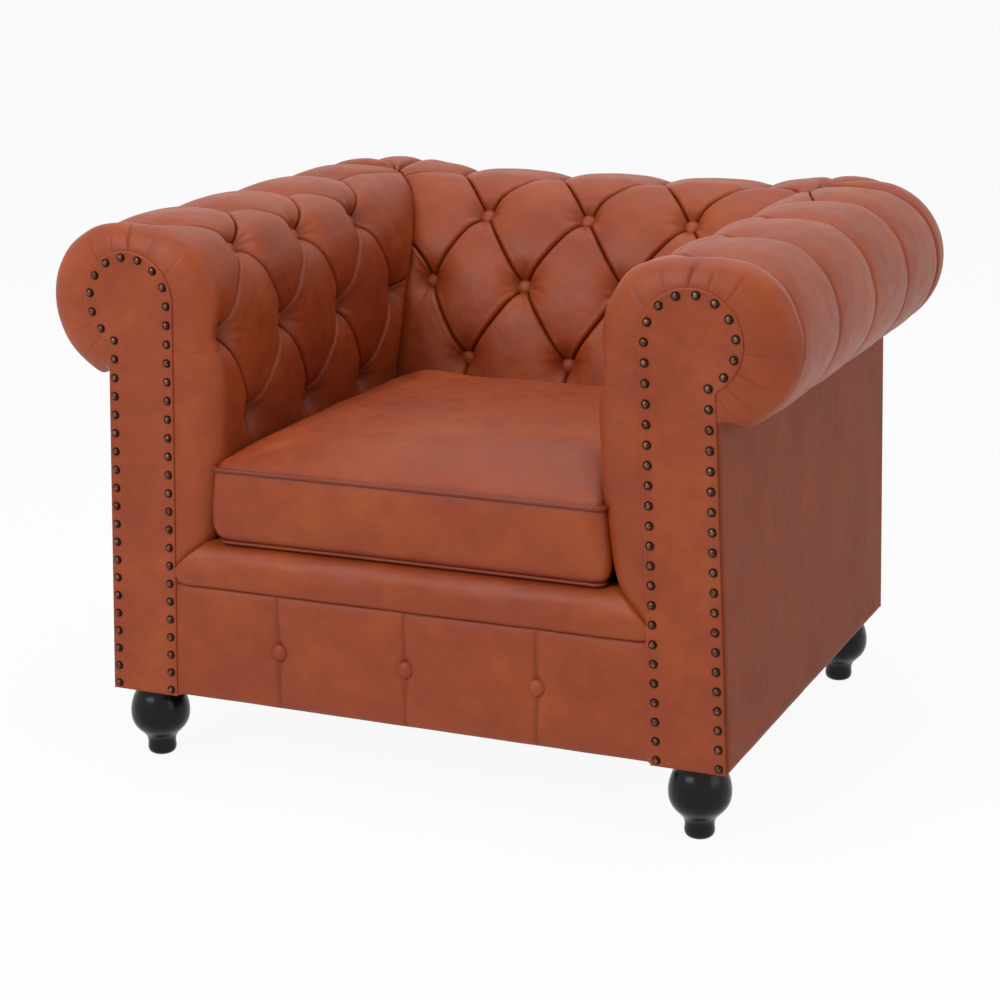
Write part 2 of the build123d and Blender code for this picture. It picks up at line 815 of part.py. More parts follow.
# Scroll facings with their nails
with BuildPart() as arm_facing:
    with BuildSketch(Plane.XZ.offset(-leather_y)):
        add(arm_outline(FACE_INSET))
    extrude(amount=-LEATHER_T)
keep_pair(arm_facing.part, "arm_facing")

with BuildPart() as nail:
    with BuildSketch(Plane.XZ):
        with BuildLine():
            Polyline((0, -NAIL_SHANK), (NAIL_SHANK_R, -NAIL_SHANK), (NAIL_SHANK_R, 0), (NAIL_R, 0))
            ThreePointArc(
                (NAIL_R, 0), dome(NAIL_R, 0, NAIL_HEIGHT), (0, NAIL_HEIGHT),
            )
            Line((0, NAIL_HEIGHT), (0, -NAIL_SHANK))
        make_face()
    revolve(axis=Axis.Z)

nail_line = arm_outline(NAIL_INSET).wires()[0]
nail_count = int(nail_line.length / NAIL_PITCH)
with BuildPart() as facing_nails:
    for index in range(nail_count):
        spot = nail_line.position_at(index / nail_count)
        if spot.Y > FOOT_HEIGHT + NAIL_INSET + NAIL_R:
            with Locations(Plane((spot.X, leather_y, spot.Y), z_dir=(0, -1, 0))):
                add(nail.part)
keep_pair(facing_nails.part, "facing_nails")

# Front border: padded panels between stitched seams, one button to a seam
border_rear = rail_y
border_face = leather_y + BORDER_SWELL
border_seams = [-BORDER_SEAM, 0.0, BORDER_SEAM]
border_mid_z = (FOOT_HEIGHT + BORDER_TOP_Z) / 2
with BuildPart() as front_border:
    for z, swell in ((FOOT_HEIGHT, 0.5), (border_mid_z, 1.0), (BORDER_TOP_Z, 0.5)):
        edge = arm_in(z) - SOFT_GAP
        stops = [-edge, *border_seams, edge]
        with BuildSketch(Plane.XY.offset(z)):
            with BuildLine():
                for left, right in zip(stops[:-1], stops[1:]):
                    ThreePointArc(
                        (left, border_face),
                        ((left + right) / 2, border_face - BORDER_SWELL * swell),
                        (right, border_face),
                    )
                Polyline((edge, border_face), (edge, border_rear), (-edge, border_rear),
                         (-edge, border_face))
            make_face()
    loft(ruled=True)
    for seam in border_seams:
        with Locations(Plane((seam, border_face + BUTTON_SINK, border_mid_z), z_dir=(0, -1, 0))):
            Cylinder(
                BUTTON_R + SOFT_GAP, BOARD_T * 2, mode=Mode.SUBTRACT,
                align=(Align.CENTER, Align.CENTER, Align.MIN),
            )
keep(front_border.part, "front_border")

with BuildPart() as front_buttons:
    for seam in border_seams:
        with Locations(Plane((seam, border_face + BUTTON_SINK, border_mid_z), z_dir=(0, -1, 0))):
            add(button.part)
keep(front_buttons.part, "front_buttons")

# Seat lip: the roll under the front of the cushion
lip_z = BORDER_TOP_Z + REST_GAP
lip_mid = (lip_z + LIP_TOP_Z) / 2
lip_half = arm_in(BORDER_TOP_Z) - 2 * SOFT_GAP
with BuildPart() as seat_lip:
    with BuildSketch(Plane.YZ.offset(-lip_half)):
        with BuildLine():
            Polyline(
                (front_y + LIP_DEPTH, LIP_TOP_Z),
                (front_y + LIP_DEPTH, lip_z),
                (front_y + BORDER_SWELL, lip_z),
            )
            ThreePointArc(
                (front_y + BORDER_SWELL, lip_z),
                (front_y, lip_mid - 5),
                (front_y + BORDER_SWELL + 4, LIP_TOP_Z - 4),
            )
            Line(
                (front_y + BORDER_SWELL + 4, LIP_TOP_Z - 4),
                (front_y + LIP_DEPTH, LIP_TOP_Z),
            )
        make_face()
    extrude(amount=2 * lip_half)
    with BuildSketch(Plane.XZ.offset(-front_y + 2)):
        with BuildLine():
            Polyline(
                (-lip_half, lip_z),
                (lip_half, lip_z),
                (arm_belly + 24, LIP_TOP_Z),
                (-arm_belly - 24, LIP_TOP_Z),
                close=True,
            )
        make_face()
    extrude(amount=-LIP_DEPTH * 2, mode=Mode.INTERSECT)
keep(seat_lip.part, "seat_lip")

# Springs from the front rail to the rear rail, held in clips
spring_z = rail_top + CLIP_HEIGHT / 2
spring_start = rail_y + RAIL_T / 2
spring_end = rear_rail_y + RAIL_T / 2
bend_r = (spring_end - spring_start) / SPRING_BENDS / 2
spring_first = -SPRING_PITCH * (SPRING_COUNT - 1) / 2
run = SPRING_HALF - bend_r

with BuildPart() as spring:
    with BuildLine() as zigzag:
        sway = 1
        at = spring_start
        Line((-run, at), (run, at))
        for bend in range(SPRING_BENDS):
            ThreePointArc(
                (sway * run, at),
                (sway * (run + bend_r), at + bend_r),
                (sway * run, at + 2 * bend_r),
            )
            at += 2 * bend_r
            Line((sway * run, at), (-sway * run, at))
            sway = -sway
    with BuildSketch(Plane((-run, spring_start, 0), x_dir=(0, 1, 0), z_dir=(1, 0, 0))):
        Circle(SPRING_WIRE / 2)
    sweep(path=zigzag.wires()[0])

with BuildPart() as seat_springs:
    for index in range(SPRING_COUNT):
        with Locations((spring_first + SPRING_PITCH * index, 0, spring_z)):
            add(spring.part)
keep(seat_springs.part, "seat_springs")

with BuildPart() as spring_clips:
    for index in range(SPRING_COUNT):
        for y in (spring_start, spring_end):
            place = (spring_first + SPRING_PITCH * index, y, rail_top)
            with Locations(place):
                Box(
                    CLIP_LENGTH, CLIP_WIDTH, CLIP_HEIGHT,
                    align=(Align.CENTER, Align.CENTER, Align.MIN),
                )
            with Locations(Plane((place[0], y, spring_z), z_dir=(1, 0, 0))):
                Cylinder(SPRING_WIRE / 2 + BORE_GAP, CLIP_LENGTH * 2, mode=Mode.SUBTRACT)
keep(spring_clips.part, "spring_clips")

with BuildPart() as spring_cloth:
    start = spring_start + CLIP_WIDTH / 2 + REST_GAP
    with Locations((0, start, cloth_z)):
        Box(
            2 * deck_half, rear_rail_y - CLOTH_SHORT - start, CLOTH_T,
            align=(Align.CENTER, Align.MIN, Align.MIN),
        )
keep(spring_cloth.part, "spring_cloth")

deck_z = rail_top + CLIP_HEIGHT + REST_GAP
deck_rear = back_hem_y - 65
with BuildPart() as seat_deck:
    with Locations((0, deck_y, deck_z)):
        Box(
            2 * deck_half, deck_rear - deck_y, LIP_TOP_Z - deck_z,
            align=(Align.CENTER, Align.MIN, Align.MIN),
        )
keep(seat_deck.part, "seat_deck")

# Loose cushion: sections drawn in between the corners, and a crown on top
crown = SEAT_HEIGHT - edge_z
cushion_levels = [
    (0.0, 6.0),
    (5.0, 0.0),
    (CUSHION_BOX / 2, -1.5),
    (CUSHION_BOX, 0.0),
    (CUSHION_BOX + crown * 0.26, cushion_half_top * 0.053),
    (CUSHION_BOX + crown * 0.60, cushion_half_top * 0.214),
    (CUSHION_BOX + crown * 0.86, cushion_half_top * 0.443),
    (CUSHION_BOX + crown, cushion_half_top * 0.71),
]


def half_at(rise):
    """Half width of the cushion a rise above its underside."""
    return cushion_half_low + (cushion_half_top - cushion_half_low) * min(rise / CUSHION_BOX, 1)


def cushion_wire(half, low_y, top_y, draw):
    """A square with rounded corners whose sides are drawn in."""
    r = CUSHION_CORNER
    k = r * (1 - sqrt(0.5))
    mid_y = (low_y + top_y) / 2
    ThreePointArc((-half + r, low_y), (0, low_y + draw * 0.3), (half - r, low_y))
    ThreePointArc((half - r, low_y), (half - k, low_y + k), (half, low_y + r))
    ThreePointArc((half, low_y + r), (half - draw, mid_y), (half, top_y - r))
    ThreePointArc((half, top_y - r), (half - k, top_y - k), (half - r, top_y))
    Line((half - r, top_y), (-half + r, top_y))
    ThreePointArc((-half + r, top_y), (-half + k, top_y - k), (-half, top_y - r))
    ThreePointArc((-half, top_y - r), (-half + draw, mid_y), (-half, low_y + r))
    ThreePointArc((-half, low_y + r), (-half + k, low_y + k), (-half + r, low_y))


def cushion_form(inset):
    """Stacked sections of the cushion, all drawn in by an inset."""
    faces = []
    squash = 1 - 2 * inset / (CUSHION_BOX + crown)
    for rise, pull in cushion_levels:
        half = half_at(rise) - pull - inset
        front = leather_y + CUSHION_FRONT + pull + inset
        rear = cushion_rear_y - max(pull, 0) - inset
        with BuildSketch(Plane.XY.offset(cushion_z + inset + rise * squash)) as face:
            with BuildLine():
                cushion_wire(half, front, rear, CUSHION_DRAW)
            make_face()
        faces.append(face.sketch)
    return faces


with BuildPart() as cushion_cover:
    loft(cushion_form(0), ruled=True)
    loft(cushion_form(COVER_T), ruled=True, mode=Mode.SUBTRACT)
keep(cushion_cover.part, "cushion_cover")

with BuildPart() as cushion_core:
    loft(cushion_form(COVER_T + SOFT_GAP), ruled=True)
keep(cushion_core.part, "cushion_core")

with BuildPart() as cushion_piping:
    for z, rise in ((cushion_z + PIPE_R, 0), (edge_z, CUSHION_BOX)):
        half = half_at(rise) + PIPE_PROUD - PIPE_R
        low = leather_y + CUSHION_FRONT - PIPE_PROUD + PIPE_R
        top = cushion_rear_y + PIPE_PROUD - PIPE_R
        with BuildLine(Plane.XY.offset(z)) as loop:
            cushion_wire(half, low, top, CUSHION_DRAW)
        seam = loop.wires()[0]
        with BuildSketch(Plane(seam @ 0, z_dir=seam % 0)):
            Circle(PIPE_R)
        sweep(path=seam, transition=Transition.ROUND)
keep(cushion_piping.part, "cushion_piping")

# Zip across the rear boxing of the cushion, with a slider that runs on it
chain_y = cushion_rear_y + ZIP_TAPE_T
with BuildPart() as cushion_zip:
    with Locations((0, cushion_rear_y, zip_z)):
        Box(
            zip_length, ZIP_TAPE_T, ZIP_TAPE,
            align=(Align.CENTER, Align.MIN, Align.CENTER),
        )
    with Locations((0, chain_y, zip_z)):
        Box(
            zip_length, ZIP_CHAIN_T, ZIP_CHAIN,
            align=(Align.CENTER, Align.MIN, Align.CENTER),
        )
keep(cushion_zip.part, "cushion_zip")

slider_x = zip_length / 2 - SLIDER_LENGTH
with BuildPart() as zip_slider:
    with Locations((slider_x, chain_y + SLIDE_GAP, zip_z)):
        Box(
            SLIDER_LENGTH, ZIP_CHAIN_T + SLIDER_WALL, SLIDER_WIDTH,
            align=(Align.CENTER, Align.MIN, Align.CENTER),
        )
        Box(
            SLIDER_LENGTH * 2, ZIP_CHAIN_T, ZIP_CHAIN + 2 * SLIDE_GAP,
            mode=Mode.SUBTRACT, align=(Align.CENTER, Align.MIN, Align.CENTER),
        )
    with Locations((slider_x, chain_y + ZIP_CHAIN_T + 2 * SLIDE_GAP, zip_z)):
        Box(
            SLIDER_LENGTH / 2, SLIDER_WALL - SLIDE_GAP, PULL_LENGTH,
            align=(Align.CENTER, Align.MIN, Align.MAX),
        )
keep(zip_slider.part, "zip_slider")

# Underside
with BuildPart() as dust_cover:
    with Locations((0, rail_y, FOOT_HEIGHT)):
        Box(
            2 * (arm_foot_out - SKIN), rear_rail_y + RAIL_T - rail_y, CLOTH_T,
            align=(Align.CENTER, Align.MIN, Align.MAX),
        )
    for x in (-rear_foot_x, rear_foot_x):
        for y in (foot_y, rear_foot_line):
            with Locations((x, y, FOOT_HEIGHT)):
                Cylinder(FOOT_COLLAR_R + REST_GAP, CLOTH_T * 4, mode=Mode.SUBTRACT)
keep(dust_cover.part, "dust_cover")

# Turned feet
with BuildPart() as foot:
    with BuildSketch(Plane.XZ):
        with BuildLine():
            Polyline(
                (0, GLIDE_T),
                (FOOT_ANKLE_R * 0.62, GLIDE_T),
                (FOOT_ANKLE_R, GLIDE_T + 7),
                (FOOT_ANKLE_R, FOOT_HEIGHT * 0.15),
            )
            ThreePointArc(
                (FOOT_ANKLE_R, FOOT_HEIGHT * 0.15),
                (FOOT_ANKLE_R * 0.93, FOOT_HEIGHT * 0.21),
                (FOOT_ANKLE_R * 1.12, FOOT_HEIGHT * 0.28),
            )
            ThreePointArc(
                (FOOT_ANKLE_R * 1.12, FOOT_HEIGHT * 0.28),
                (FOOT_R * 0.86, FOOT_HEIGHT * 0.41),
                (FOOT_R, FOOT_HEIGHT * 0.57),
            )
            ThreePointArc(
                (FOOT_R, FOOT_HEIGHT * 0.57),
                (FOOT_R * 0.93, FOOT_HEIGHT * 0.72),
                (FOOT_COLLAR_R * 0.93, FOOT_HEIGHT * 0.88),
            )
            Polyline(
                (FOOT_COLLAR_R * 0.93, FOOT_HEIGHT * 0.88),
                (FOOT_COLLAR_R, FOOT_HEIGHT * 0.90),
                (FOOT_COLLAR_R, FOOT_HEIGHT),
                (0, FOOT_HEIGHT),
                (0, GLIDE_T),
            )
        make_face()
    revolve(axis=Axis.Z)

foot_places = {
    "front_right": (side_rail_x, foot_y),
    "front_left": (-side_rail_x, foot_y),
    "rear_right": (rear_foot_x, rear_foot_line),
    "rear_left": (-rear_foot_x, rear_foot_line),
}
for place, spot in foot_places.items():
    with BuildPart() as one_foot:
        with Locations(spot):
            add(foot.part)
    keep(one_foot.part, f"{place}_foot")

with BuildPart() as foot_bolts:
    for spot in foot_places.values():
        with Locations((spot[0], spot[1], FOOT_HEIGHT)):
            Cylinder(BOLT_R, BOLT_LENGTH)
keep(foot_bolts.part, "foot_bolts")

with BuildPart() as foot_glides:
    for spot in foot_places.values():
        with Locations((spot[0], spot[1], 0)):
            Cylinder(GLIDE_R, GLIDE_T, align=(Align.CENTER, Align.CENTER, Align.MIN))
keep(foot_glides.part, "foot_glides")
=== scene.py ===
import math

import bmesh
import bpy
import numpy as np
from bpy.props import FloatProperty, FloatVectorProperty, IntProperty, PointerProperty
from mathutils import Matrix, Vector


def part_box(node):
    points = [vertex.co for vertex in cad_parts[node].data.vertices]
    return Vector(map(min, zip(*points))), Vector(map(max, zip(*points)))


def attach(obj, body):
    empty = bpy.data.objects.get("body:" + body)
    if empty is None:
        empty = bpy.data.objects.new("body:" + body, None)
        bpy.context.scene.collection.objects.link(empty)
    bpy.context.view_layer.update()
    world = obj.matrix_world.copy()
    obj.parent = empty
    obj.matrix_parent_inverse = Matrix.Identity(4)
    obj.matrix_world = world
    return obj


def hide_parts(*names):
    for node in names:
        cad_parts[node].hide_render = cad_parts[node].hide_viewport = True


bl_info = {
    "name": "Tufted Armchair",
    "version": (1, 0, 0),
    "blender": (4, 5, 0),
    "location": "View3D > Sidebar > Armchair",
    "description": "Upholsters the armchair frame in buttoned leather and sets the studio",
    "category": "Object",
}

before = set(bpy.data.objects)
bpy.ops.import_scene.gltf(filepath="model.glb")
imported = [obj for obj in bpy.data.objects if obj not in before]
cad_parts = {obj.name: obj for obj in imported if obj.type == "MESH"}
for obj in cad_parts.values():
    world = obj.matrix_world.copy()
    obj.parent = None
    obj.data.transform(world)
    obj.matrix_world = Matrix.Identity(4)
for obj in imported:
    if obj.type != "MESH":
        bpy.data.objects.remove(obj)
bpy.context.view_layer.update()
MM = 0.001

# Outline of the frame and its leather, in millimetres, after the part's source
FACE_CENTRE = (390.5, 651.0)
FACE_R = 66.5
FOOT_TOP = 104.0
ARM_FOOT = (345.0, FOOT_TOP)
ARM_TOUCH = (324.1, 644.5)
SIDE_LOW = (445.0, FOOT_TOP)
SIDE_HIGH = (424.0, 600.0)
REAR_LOW = (297.0, FOOT_TOP)
REAR_HIGH = (334.0, 600.0)
PANEL_TOP = 552.0
FRONT_Y = -446.0
SIDE_FRONT = -445.5
CORNER = (340.0, 265.0)
ROLL_Z = 643.0
ROLL_R = 107.0


def linear(text):
    """Linear colour of an sRGB hex."""
    values = []
    for place in (1, 3, 5):
        v = int(text[place:place + 2], 16) / 255
        values.append(v / 12.92 if v <= 0.04045 else ((v + 0.055) / 1.055) ** 2.4)
    return tuple(values)


def rgba(colour):
    """Colour with full cover, for a socket."""
    return (colour[0], colour[1], colour[2], 1.0)


def shade(label, note, text):
    """A colour that a user can change."""
    return FloatVectorProperty(
        name=label, description=note, subtype="COLOR", size=3, min=0, max=1, default=linear(text))


def length(label, note, value):
    """A size in metres that a user can change."""
    return FloatProperty(name=label, description=note, unit="LENGTH", min=0, default=value)


class TuftSettings(bpy.types.PropertyGroup):
    """Sizes of the buttoning"""
    crease: length("Crease depth", "Depth of a crease between two buttons", 0.0085)
    button_depth: length("Button depth", "How far a button draws the leather in", 0.029)
    pucker: length("Pucker", "Height of the gathers round a button", 0.0011)
    button: length("Button radius", "Radius of a covered button", 0.0118)
    nail: length("Nail radius", "Radius of a domed nail", 0.0058)


class SeatSettings(bpy.types.PropertyGroup):
    """Sizes of the loose cushion"""
    voxel: length("Voxel", "Mesh size that the cushion is blown up at", 0.007)
    piping: length("Piping radius", "Radius of the piped edge", 0.0036)
    pressure: FloatProperty(name="Pressure", description="Air pressure in the cushion", default=4.0)
    frames: IntProperty(name="Frames", description="Steps of the simulation", default=20)


class FinishSettings(bpy.types.PropertyGroup):
    """Colours of the finishes"""
    leather: shade("Leather", "Tan leather where it is worn and stretched", "#A34E20")
    # The deep colour tints the darker cloud patches of the leather, and is also the painted shade in its
    # creases, seams, pits and piping
    leather_dark_and_shade: shade("Leather deep", "Red brown of the leather in folds", "#5C1D11")
    leather_mid: shade("Leather middle", "Main tan of the leather", "#933F1D")
    # The outer sides' leather has its gloss turned down, and its greyer tone is painted reflection haze
    outside: shade("Outside leather", "Duller leather of the outer sides", "#8A452E")
    foot: shade("Foot stain", "Near-black stain of the feet", "#15100E")
    brass: shade("Nail bronze", "Aged bronze of the nails", "#8A6653")
    floor: shade("Floor", "Pale studio floor", "#F4F4F4")


# Materials

def feed(tree, made, links):
    """Link sockets to a node's inputs, or set the inputs' values."""
    for key, value in links.items():
        socket = made.inputs[key]
        if isinstance(value, bpy.types.NodeSocket):
            tree.links.new(value, socket)
        else:
            socket.default_value = value


def node(tree, kind, links=None, **settings):
    """Add a node, set its values and link its inputs."""
    made = tree.nodes.new(kind)
    for key, value in settings.items():
        setattr(made, key, value)
    feed(tree, made, links or {})
    return made


def ramp(tree, source, stops):
    """Colour ramp from a list of places and colours."""
    made = node(tree, "ShaderNodeValToRGB", {"Fac": source})
    made.color_ramp.elements[0].position = stops[0][0]
    made.color_ramp.elements[0].color = rgba(stops[0][1])
    made.color_ramp.elements[1].position = stops[-1][0]
    made.color_ramp.elements[1].color = rgba(stops[-1][1])
    for place, colour in stops[1:-1]:
        made.color_ramp.elements.new(place).color = rgba(colour)
    return made.outputs["Color"]


def new_material(name):
    """Empty material with a principled shader on its output."""
    made = bpy.data.materials.new(name)
    made.use_nodes = True
    tree = made.node_tree
    tree.nodes.clear()
    shader = node(tree, "ShaderNodeBsdfPrincipled")
    node(tree, "ShaderNodeOutputMaterial", {"Surface": shader.outputs["BSDF"]})
    coords = node(tree, "ShaderNodeTexCoord").outputs["Object"]
    return made, tree, shader, coords


def mix(tree, share, first, second, blend="MIX"):
    """Mix of two colours."""
    made = node(
        tree, "ShaderNodeMix", {0: share, 6: first, 7: second}, data_type="RGBA", blend_type=blend)
    return made.outputs[2]


def noise(tree, vector, scale, detail, rough=0.5):
    """Noise of about that many cells a metre."""
    return node(tree, "ShaderNodeTexNoise", {
        "Vector": vector, "Scale": scale, "Detail": detail, "Roughness": rough}).outputs["Fac"]


def bump(tree, height, strength, distance, under=None):
    """Normal of a surface raised by a height, over another normal if there is one."""
    links = {"Height": height, "Strength": strength, "Distance": distance}
    if under is not None:
        links["Normal"] = under
    return node(tree, "ShaderNodeBump", links).outputs["Normal"]


def stretched(tree, coords, scale):
    """Coordinates scaled apart along each axis, for a texture that runs one way."""
    return node(tree, "ShaderNodeMapping", {"Vector": coords, "Scale": scale}).outputs["Vector"]


def toward(main, other, share):
    """Colour a share of the way from main to another."""
    return tuple(a + (b - a) * share for a, b in zip(main, other))


def leather_material(name, main, light, deep, gleam, streak=0.0):
    """Waxed hide: fine pebble grain, cloudy tan, with painted shade that darkens it towards the deep colour
    in creases, seams, pits and piping.
    """
    made, tree, shader, coords = new_material(name)
    cloud = noise(tree, coords, 9.0, 4.0, 0.55)
    patch = noise(tree, coords, 42.0, 5.0, 0.6)
    base = ramp(tree, cloud, [
        (0.28, toward(main, deep, 0.22)), (0.5, main), (0.74, toward(main, light, 0.7))])
    mottle = ramp(tree, patch, [(0.3, (0.86, 0.84, 0.83)), (0.7, (1.08, 1.08, 1.08))])
    colour = mix(tree, 0.8, base, mottle, "MULTIPLY")
    if streak:
        line = noise(tree, stretched(tree, coords, (18.0, 18.0, 1.2)), 1.0, 3.0)
        tone = ramp(tree, line, [(0.32, (0.88, 0.88, 0.89)), (0.68, (1.06, 1.05, 1.04))])
        colour = mix(tree, streak, colour, tone, "MULTIPLY")
    # Painted shade: a value on each point that darkens the leather towards its deep colour where creases,
    # seams and pits lie in shadow
    painted_shade = node(tree, "ShaderNodeAttribute", attribute_name="painted_shade").outputs["Fac"]
    # Cells about 1.3 mm across give the pebble, a noise its pores
    pebble = node(tree, "ShaderNodeTexVoronoi", {
        "Vector": coords, "Scale": 760.0, "Randomness": 1.0}, feature="DISTANCE_TO_EDGE")
    flat = ramp(tree, pebble.outputs["Distance"], [(0.0, (0, 0, 0)), (0.16, (1, 1, 1))])
    grain = mix(tree, 0.45, flat, noise(tree, coords, 520.0, 3.0))
    soft = bump(tree, noise(tree, coords, 60.0, 2.0), 0.22, 0.004)
    gloss = node(tree, "ShaderNodeMapRange", {
        "Value": patch, "From Min": 0.3, "From Max": 0.7, "To Min": 0.40, "To Max": 0.54})
    feed(tree, shader, {
        "Base Color": mix(tree, painted_shade, colour, rgba(deep)), "Roughness": gloss.outputs["Result"],
        "Normal": bump(tree, grain, 0.16, 0.0006, soft), "Specular IOR Level": gleam})
    return made


def wood_material(name, colour, dark, rough, scale=1.0, gleam=0.5):
    """Planed or stained wood: long grain with fine pores."""
    made, tree, shader, coords = new_material(name)
    grain = noise(tree, stretched(tree, coords, (6.0, 60.0, 60.0)), scale, 6.0, 0.6)
    feed(tree, shader, {
        "Base Color": ramp(tree, grain, [(0.3, dark), (0.7, colour)]),
        "Normal": bump(tree, grain, 0.12, 0.0008), "Roughness": rough, "Specular IOR Level": gleam})
    return made


def metal_material(name, colour, dark, rough):
    """Aged metal: tarnish in soft patches that are rougher too, and painted shade that darkens it towards a
    rim.
    """
    made, tree, shader, coords = new_material(name)
    spots = noise(tree, coords, 320.0, 4.0)
    tone = ramp(tree, spots, [(0.35, dark), (0.65, colour)])
    rim = node(tree, "ShaderNodeAttribute", attribute_name="painted_shade").outputs["Fac"]
    gloss = node(tree, "ShaderNodeMapRange", {
        "Value": spots, "To Min": rough - 0.08, "To Max": rough + 0.14})
    feed(tree, shader, {
        "Base Color": mix(tree, rim, tone, rgba(toward(dark, (0, 0, 0), 0.6))),
        "Roughness": gloss.outputs["Result"], "Metallic": 1.0})
    return made


def cloth_material(name, colour, dark):
    """Woven lining: fine crossed threads, matt."""
    made, tree, shader, coords = new_material(name)
    waves = []
    for way in ("X", "Y"):
        thread = node(tree, "ShaderNodeTexWave", {
            "Vector": coords, "Scale": 160.0, "Distortion": 1.5, "Detail": 1.0}, bands_direction=way)
        waves.append(thread.outputs["Fac"])
    weave = mix(tree, 0.5, waves[0], waves[1])
    feed(tree, shader, {
        "Base Color": ramp(tree, weave, [(0.2, dark), (0.8, colour)]),
        "Normal": bump(tree, weave, 0.3, 0.0005), "Roughness": 0.92})
    return made


def plain_material(name, colour, dark, rough, scale):
    """Moulded or foamed stuff: fine speckle, soft gloss."""
    made, tree, shader, coords = new_material(name)
    speck = noise(tree, coords, scale, 3.0)
    feed(tree, shader, {
        "Base Color": ramp(tree, speck, [(0.35, dark), (0.65, colour)]),
        "Normal": bump(tree, speck, 0.15, 0.0005), "Roughness": rough})
    return made


FINISHES = {}


def finish(name):
    """The material of that finish, made on first use."""
    if name in FINISHES:
        return FINISHES[name]
    own = bpy.context.scene.chair_finish
    main, light, deep = tuple(own.leather_mid), tuple(own.leather), tuple(own.leather_dark_and_shade)
    outside = tuple(own.outside)
    makers = {
        "leather": lambda: leather_material("Leather", main, light, deep, 0.30),
        "leather_outside": lambda: leather_material(
            "Leather outside", outside, toward(outside, light, 0.35), deep, 0.03, 0.22),
        "frame_wood": lambda: wood_material(
            "Frame beech", linear("#B98F5F"), linear("#94693F"), 0.62, 2.0),
        "board": lambda: wood_material("Board", linear("#A98458"), linear("#8A6841"), 0.75, 3.0),
        "foot_wood": lambda: wood_material(
            "Foot stain", tuple(own.foot), linear("#0C0908"), 0.22, 2.0, 0.2),
        "nail_brass": lambda: metal_material(
            "Nail bronze", tuple(own.brass), linear("#452A20"), 0.32),
        "steel": lambda: metal_material("Spring steel", linear("#9B9C9E"), linear("#6A6B6D"), 0.36),
        "zip_metal": lambda: metal_material("Zip metal", linear("#A88B5C"), linear("#7C6440"), 0.3),
        "cloth": lambda: cloth_material("Lining cloth", linear("#2C2A29"), linear("#151414")),
        "zip_tape": lambda: cloth_material("Zip tape", linear("#5A3422"), linear("#3B2116")),
        "foam": lambda: plain_material("Foam", linear("#D9C99A"), linear("#BBA873"), 0.95, 420.0),
        "glide_plastic": lambda: plain_material(
            "Glide plastic", linear("#2A2A2A"), linear("#1C1C1C"), 0.45, 300.0),
    }
    FINISHES[name] = makers[name]()
    return FINISHES[name]


# Mesh helpers

def clear_selection():
    """Leave edit mode with nothing selected."""
    if bpy.context.mode != "OBJECT":
        bpy.ops.object.mode_set(mode="OBJECT")
    bpy.ops.object.select_all(action="DESELECT")


def take(piece):
    """Make a piece the only one selected."""
    clear_selection()
    piece.select_set(True)
    bpy.context.view_layer.objects.active = piece


def smooth_line(points, count):
    """Points on a smooth line through the given ones."""
    p = np.array(points, float)
    t = np.concatenate([[0.0], np.cumsum(np.linalg.norm(np.diff(p, axis=0), axis=1))])
    m = np.gradient(p, t, axis=0)
    u = np.linspace(0, t[-1], count)
    i = np.clip(np.searchsorted(t, u, side="right") - 1, 0, len(t) - 2)
    step = (t[i + 1] - t[i])[:, None]
    x = ((u - t[i]) / (t[i + 1] - t[i]))[:, None]
    low = (1 + 2 * x) * (1 - x) ** 2 * p[i] + x * (1 - x) ** 2 * step * m[i]
    return low + x * x * (3 - 2 * x) * p[i + 1] + x * x * (x - 1) * step * m[i + 1]


class Crest:
    """Line that the tops of a pad's pillows lie on, seen along the pad."""

    def __init__(self, points):
        self.line = smooth_line(points, 2400)
        run = np.linalg.norm(np.diff(self.line, axis=0), axis=1)
        self.s = np.concatenate([[0.0], np.cumsum(run)])
        slope = np.gradient(self.line, self.s, axis=0)
        slope /= np.linalg.norm(slope, axis=1)[:, None]
        self.out = np.stack([-slope[:, 1], slope[:, 0]], axis=1)
        self.top = int(np.argmax(self.line[:, 1]))

    def at(self, s):
        """Point and outward direction at a run along the line."""
        point = np.stack([np.interp(s, self.s, self.line[:, k]) for k in (0, 1)], axis=-1)
        out = np.stack([np.interp(s, self.s, self.out[:, k]) for k in (0, 1)], axis=-1)
        return point, out

    def run_to(self, z):
        """Run along the rising side to a height."""
        return float(np.interp(z, self.line[:self.top, 1], self.s[:self.top]))

    def sunk(self, depth, z):
        """Place across the pad of the line drawn in by a depth, at heights on the rising side."""
        drawn = self.line - self.out * depth
        stop = int(np.argmax(drawn[:, 1]))
        order = np.argsort(drawn[:stop, 1])
        return np.interp(z, drawn[:stop, 1][order], drawn[:stop, 0][order])


def round_points(centre, radius, angles):
    """Points on a circle at angles in degrees."""
    return [(centre[0] + radius * math.cos(math.radians(a)),
             centre[1] + radius * math.sin(math.radians(a))) for a in angles]


ARM_CREST = Crest([
    (338, 285), (318, 292), (301, 310), (286, 345), (274, 405), (268, 470), (264, 527), (262, 585),
    (265, 643), (277, 690), (303, 728), (340, 744), (380, 749.5)]
    + round_points((418, ROLL_Z), ROLL_R, (90, 70, 45, 20, 0, -20, -40, -58, -70)) + [(432, 553)])
BACK_CREST = Crest([
    (165, 285), (136, 292), (118, 315), (107, 360), (106, 410), (112, 470), (124, 527), (140, 585),
    (163, 641), (196, 692), (229, 725), (265, 742), (303, 748.5)]
    + round_points((343, ROLL_Z), ROLL_R, (90, 70, 45, 20, 0, -20, -40, -58, -70)) + [(335, 553)])


def ripple(a, b, amount):
    """Gentle unevenness of stuffed leather, the same on each run."""
    wave = np.sin(a * 0.053 + b * 0.021 + 1.3) * np.sin(b * 0.067 - a * 0.017 + 0.4)
    wave += 0.6 * np.sin(a * 0.117 + b * 0.061 + 2.1) + 0.4 * np.sin(b * 0.131 - a * 0.043)
    return amount * wave / 2


